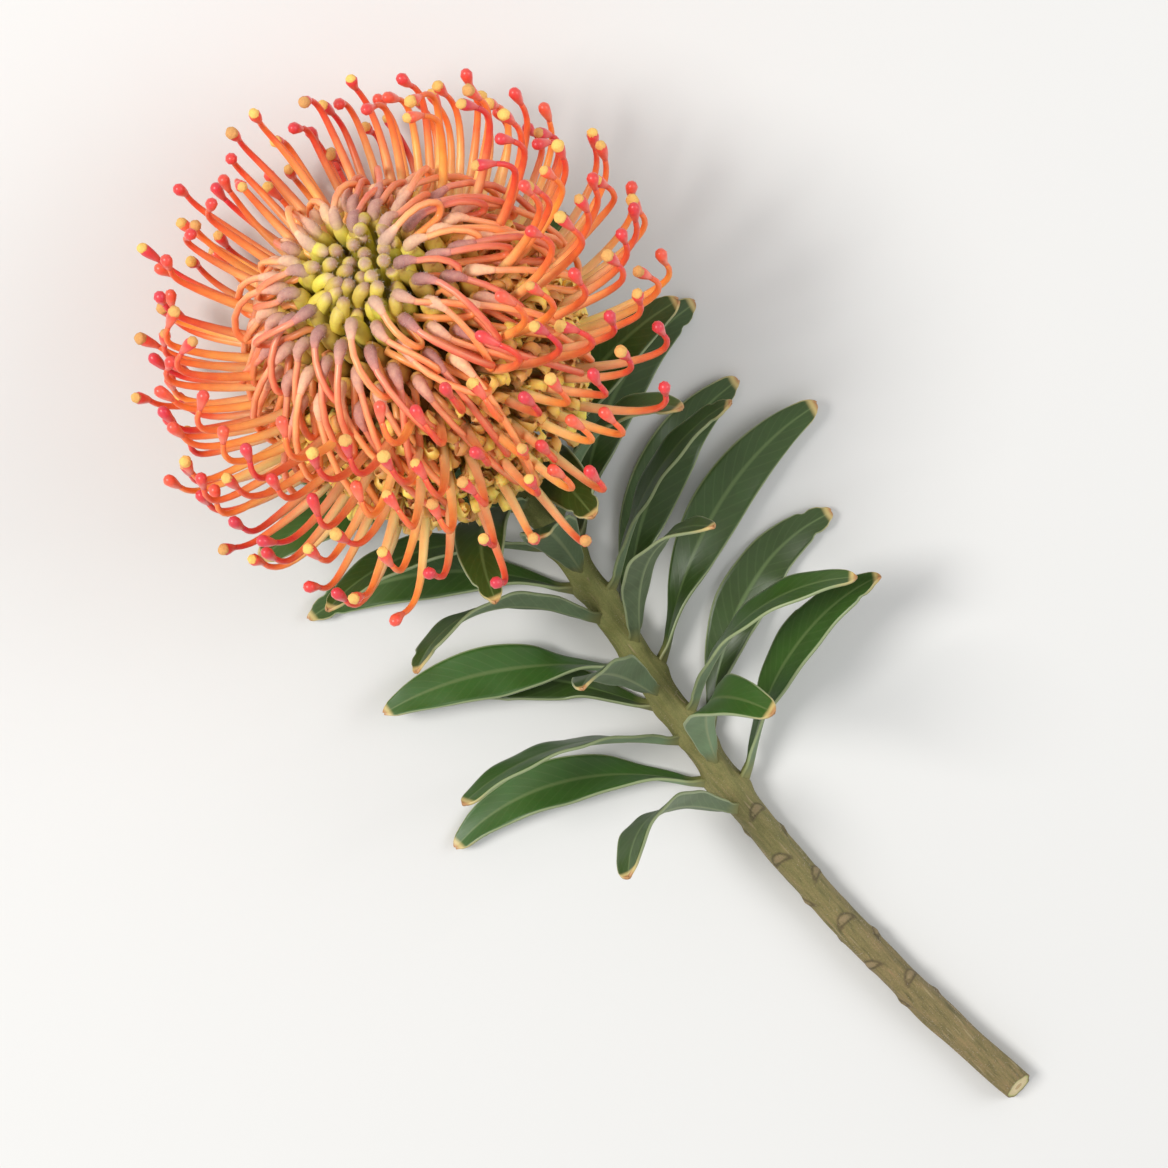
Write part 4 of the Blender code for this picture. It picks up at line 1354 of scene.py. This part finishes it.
def make_table():
    table = fresh(bpy.ops.mesh.primitive_grid_add, x_subdivisions=2, y_subdivisions=2, size=24)
    table.name = "table_top"
    table.data.materials.append(plain("table_white", (0.70, 0.70, 0.69), 0.75))


def make_light(name, place, aim, size, power, colour):
    light = bpy.data.lights.new(name, "AREA")
    light.shape = "DISK"
    light.size = size
    light.energy = power
    light.color = colour
    lamp = placed(name, light)
    lamp.location = place
    lamp.rotation_euler = (Vector(aim) - Vector(place)).to_track_quat("-Z", "Y").to_euler()


def light_scene():
    world = bpy.data.worlds.new("studio")
    world.use_nodes = True
    surfaced(world.node_tree.nodes["Background"], {"Color": (1.0, 1.0, 1.0, 1), "Strength": 0.62})
    bpy.context.scene.world = world
    make_light("key", (-0.7, 0.9, 1.3), (0, 0.05, 0.02), 0.6, 22, (1.0, 0.98, 0.95))
    make_light("fill", (1.1, -0.5, 1.0), (0, 0, 0.02), 1.0, 7, (0.97, 0.98, 1.0))


CAMERA_AIM = (-0.0033, 0.0168, 0.025)
CAMERA_DISTANCE = 1.1
CAMERA_ELEVATION = math.radians(78)
CAMERA_LENS = 164
STEM_ON_SCREEN = math.radians(41)


def set_camera():
    """Looks down from the flower's side, and is rolled so that the stem runs to the lower right."""
    data = bpy.data.cameras.new("camera")
    data.lens = CAMERA_LENS
    data.sensor_width = 36
    data.clip_start = 0.01
    camera = placed("camera", data)
    back = Vector((0, math.cos(CAMERA_ELEVATION), math.sin(CAMERA_ELEVATION)))
    right = Vector((1, 0, 0))
    axes = axes_at(Vector(CAMERA_AIM) + back * CAMERA_DISTANCE, right, back.cross(right), back)
    camera.matrix_world = axes @ Matrix.Rotation(-STEM_ON_SCREEN, 4, "Z")
    bpy.context.scene.camera = camera
    bpy.context.scene.view_settings.view_transform = "Standard"


def main():
    upper = leaf_skin("leaf_upper", False)
    under = leaf_skin("leaf_under", True)
    for k in range(LEAVES):
        make_leaf(k, upper, under)
    make_stem(bark_skin(), cut_skin())
    tube_material = skin("tube_skin")
    make_receptacle(tube_material)
    make_tubes(tube_material)
    rolls = make_curls(skin("curl_skin"))
    make_core(skin("core_skin"))
    make_styles(skin("style_skin"), skin("presenter_skin"), skin("pollen_grains"))
    held = make_loops(skin("loop_skin"), skin("claw_skin"), skin("limb_skin"))
    tips = make_central_buds(skin("bud_skin"))
    edges = make_bracts(skin("bract_skin"))
    grey = plain("grey_down", (0.68, 0.57, 0.53), 0.6)
    golden = plain("golden_down", (0.80, 0.66, 0.45), 0.6)
    on_limbs = round_hairs(held + tips, count=82, length=0.62 * MM, seed=5)
    on_curls = ribbon_hairs(rolls, count=10, length=0.8 * MM, seed=7)
    on_stem = stem_down(count=7000, length=0.6 * MM, seed=11)
    on_bracts = bract_hairs(edges, count=110, length=1.1 * MM, seed=9)
    grow("limb_hairs", on_limbs, 0.028 * MM, grey, "bud", seed=6)
    grow("curl_hairs", on_curls, 0.026 * MM, golden, "floret", seed=8)
    grow("stem_hairs", on_stem, 0.022 * MM, grey, "bark", seed=12)
    grow("bract_hairs", on_bracts, 0.03 * MM, golden, "bract", seed=10)
    make_table()
    light_scene()
    set_camera()


main()
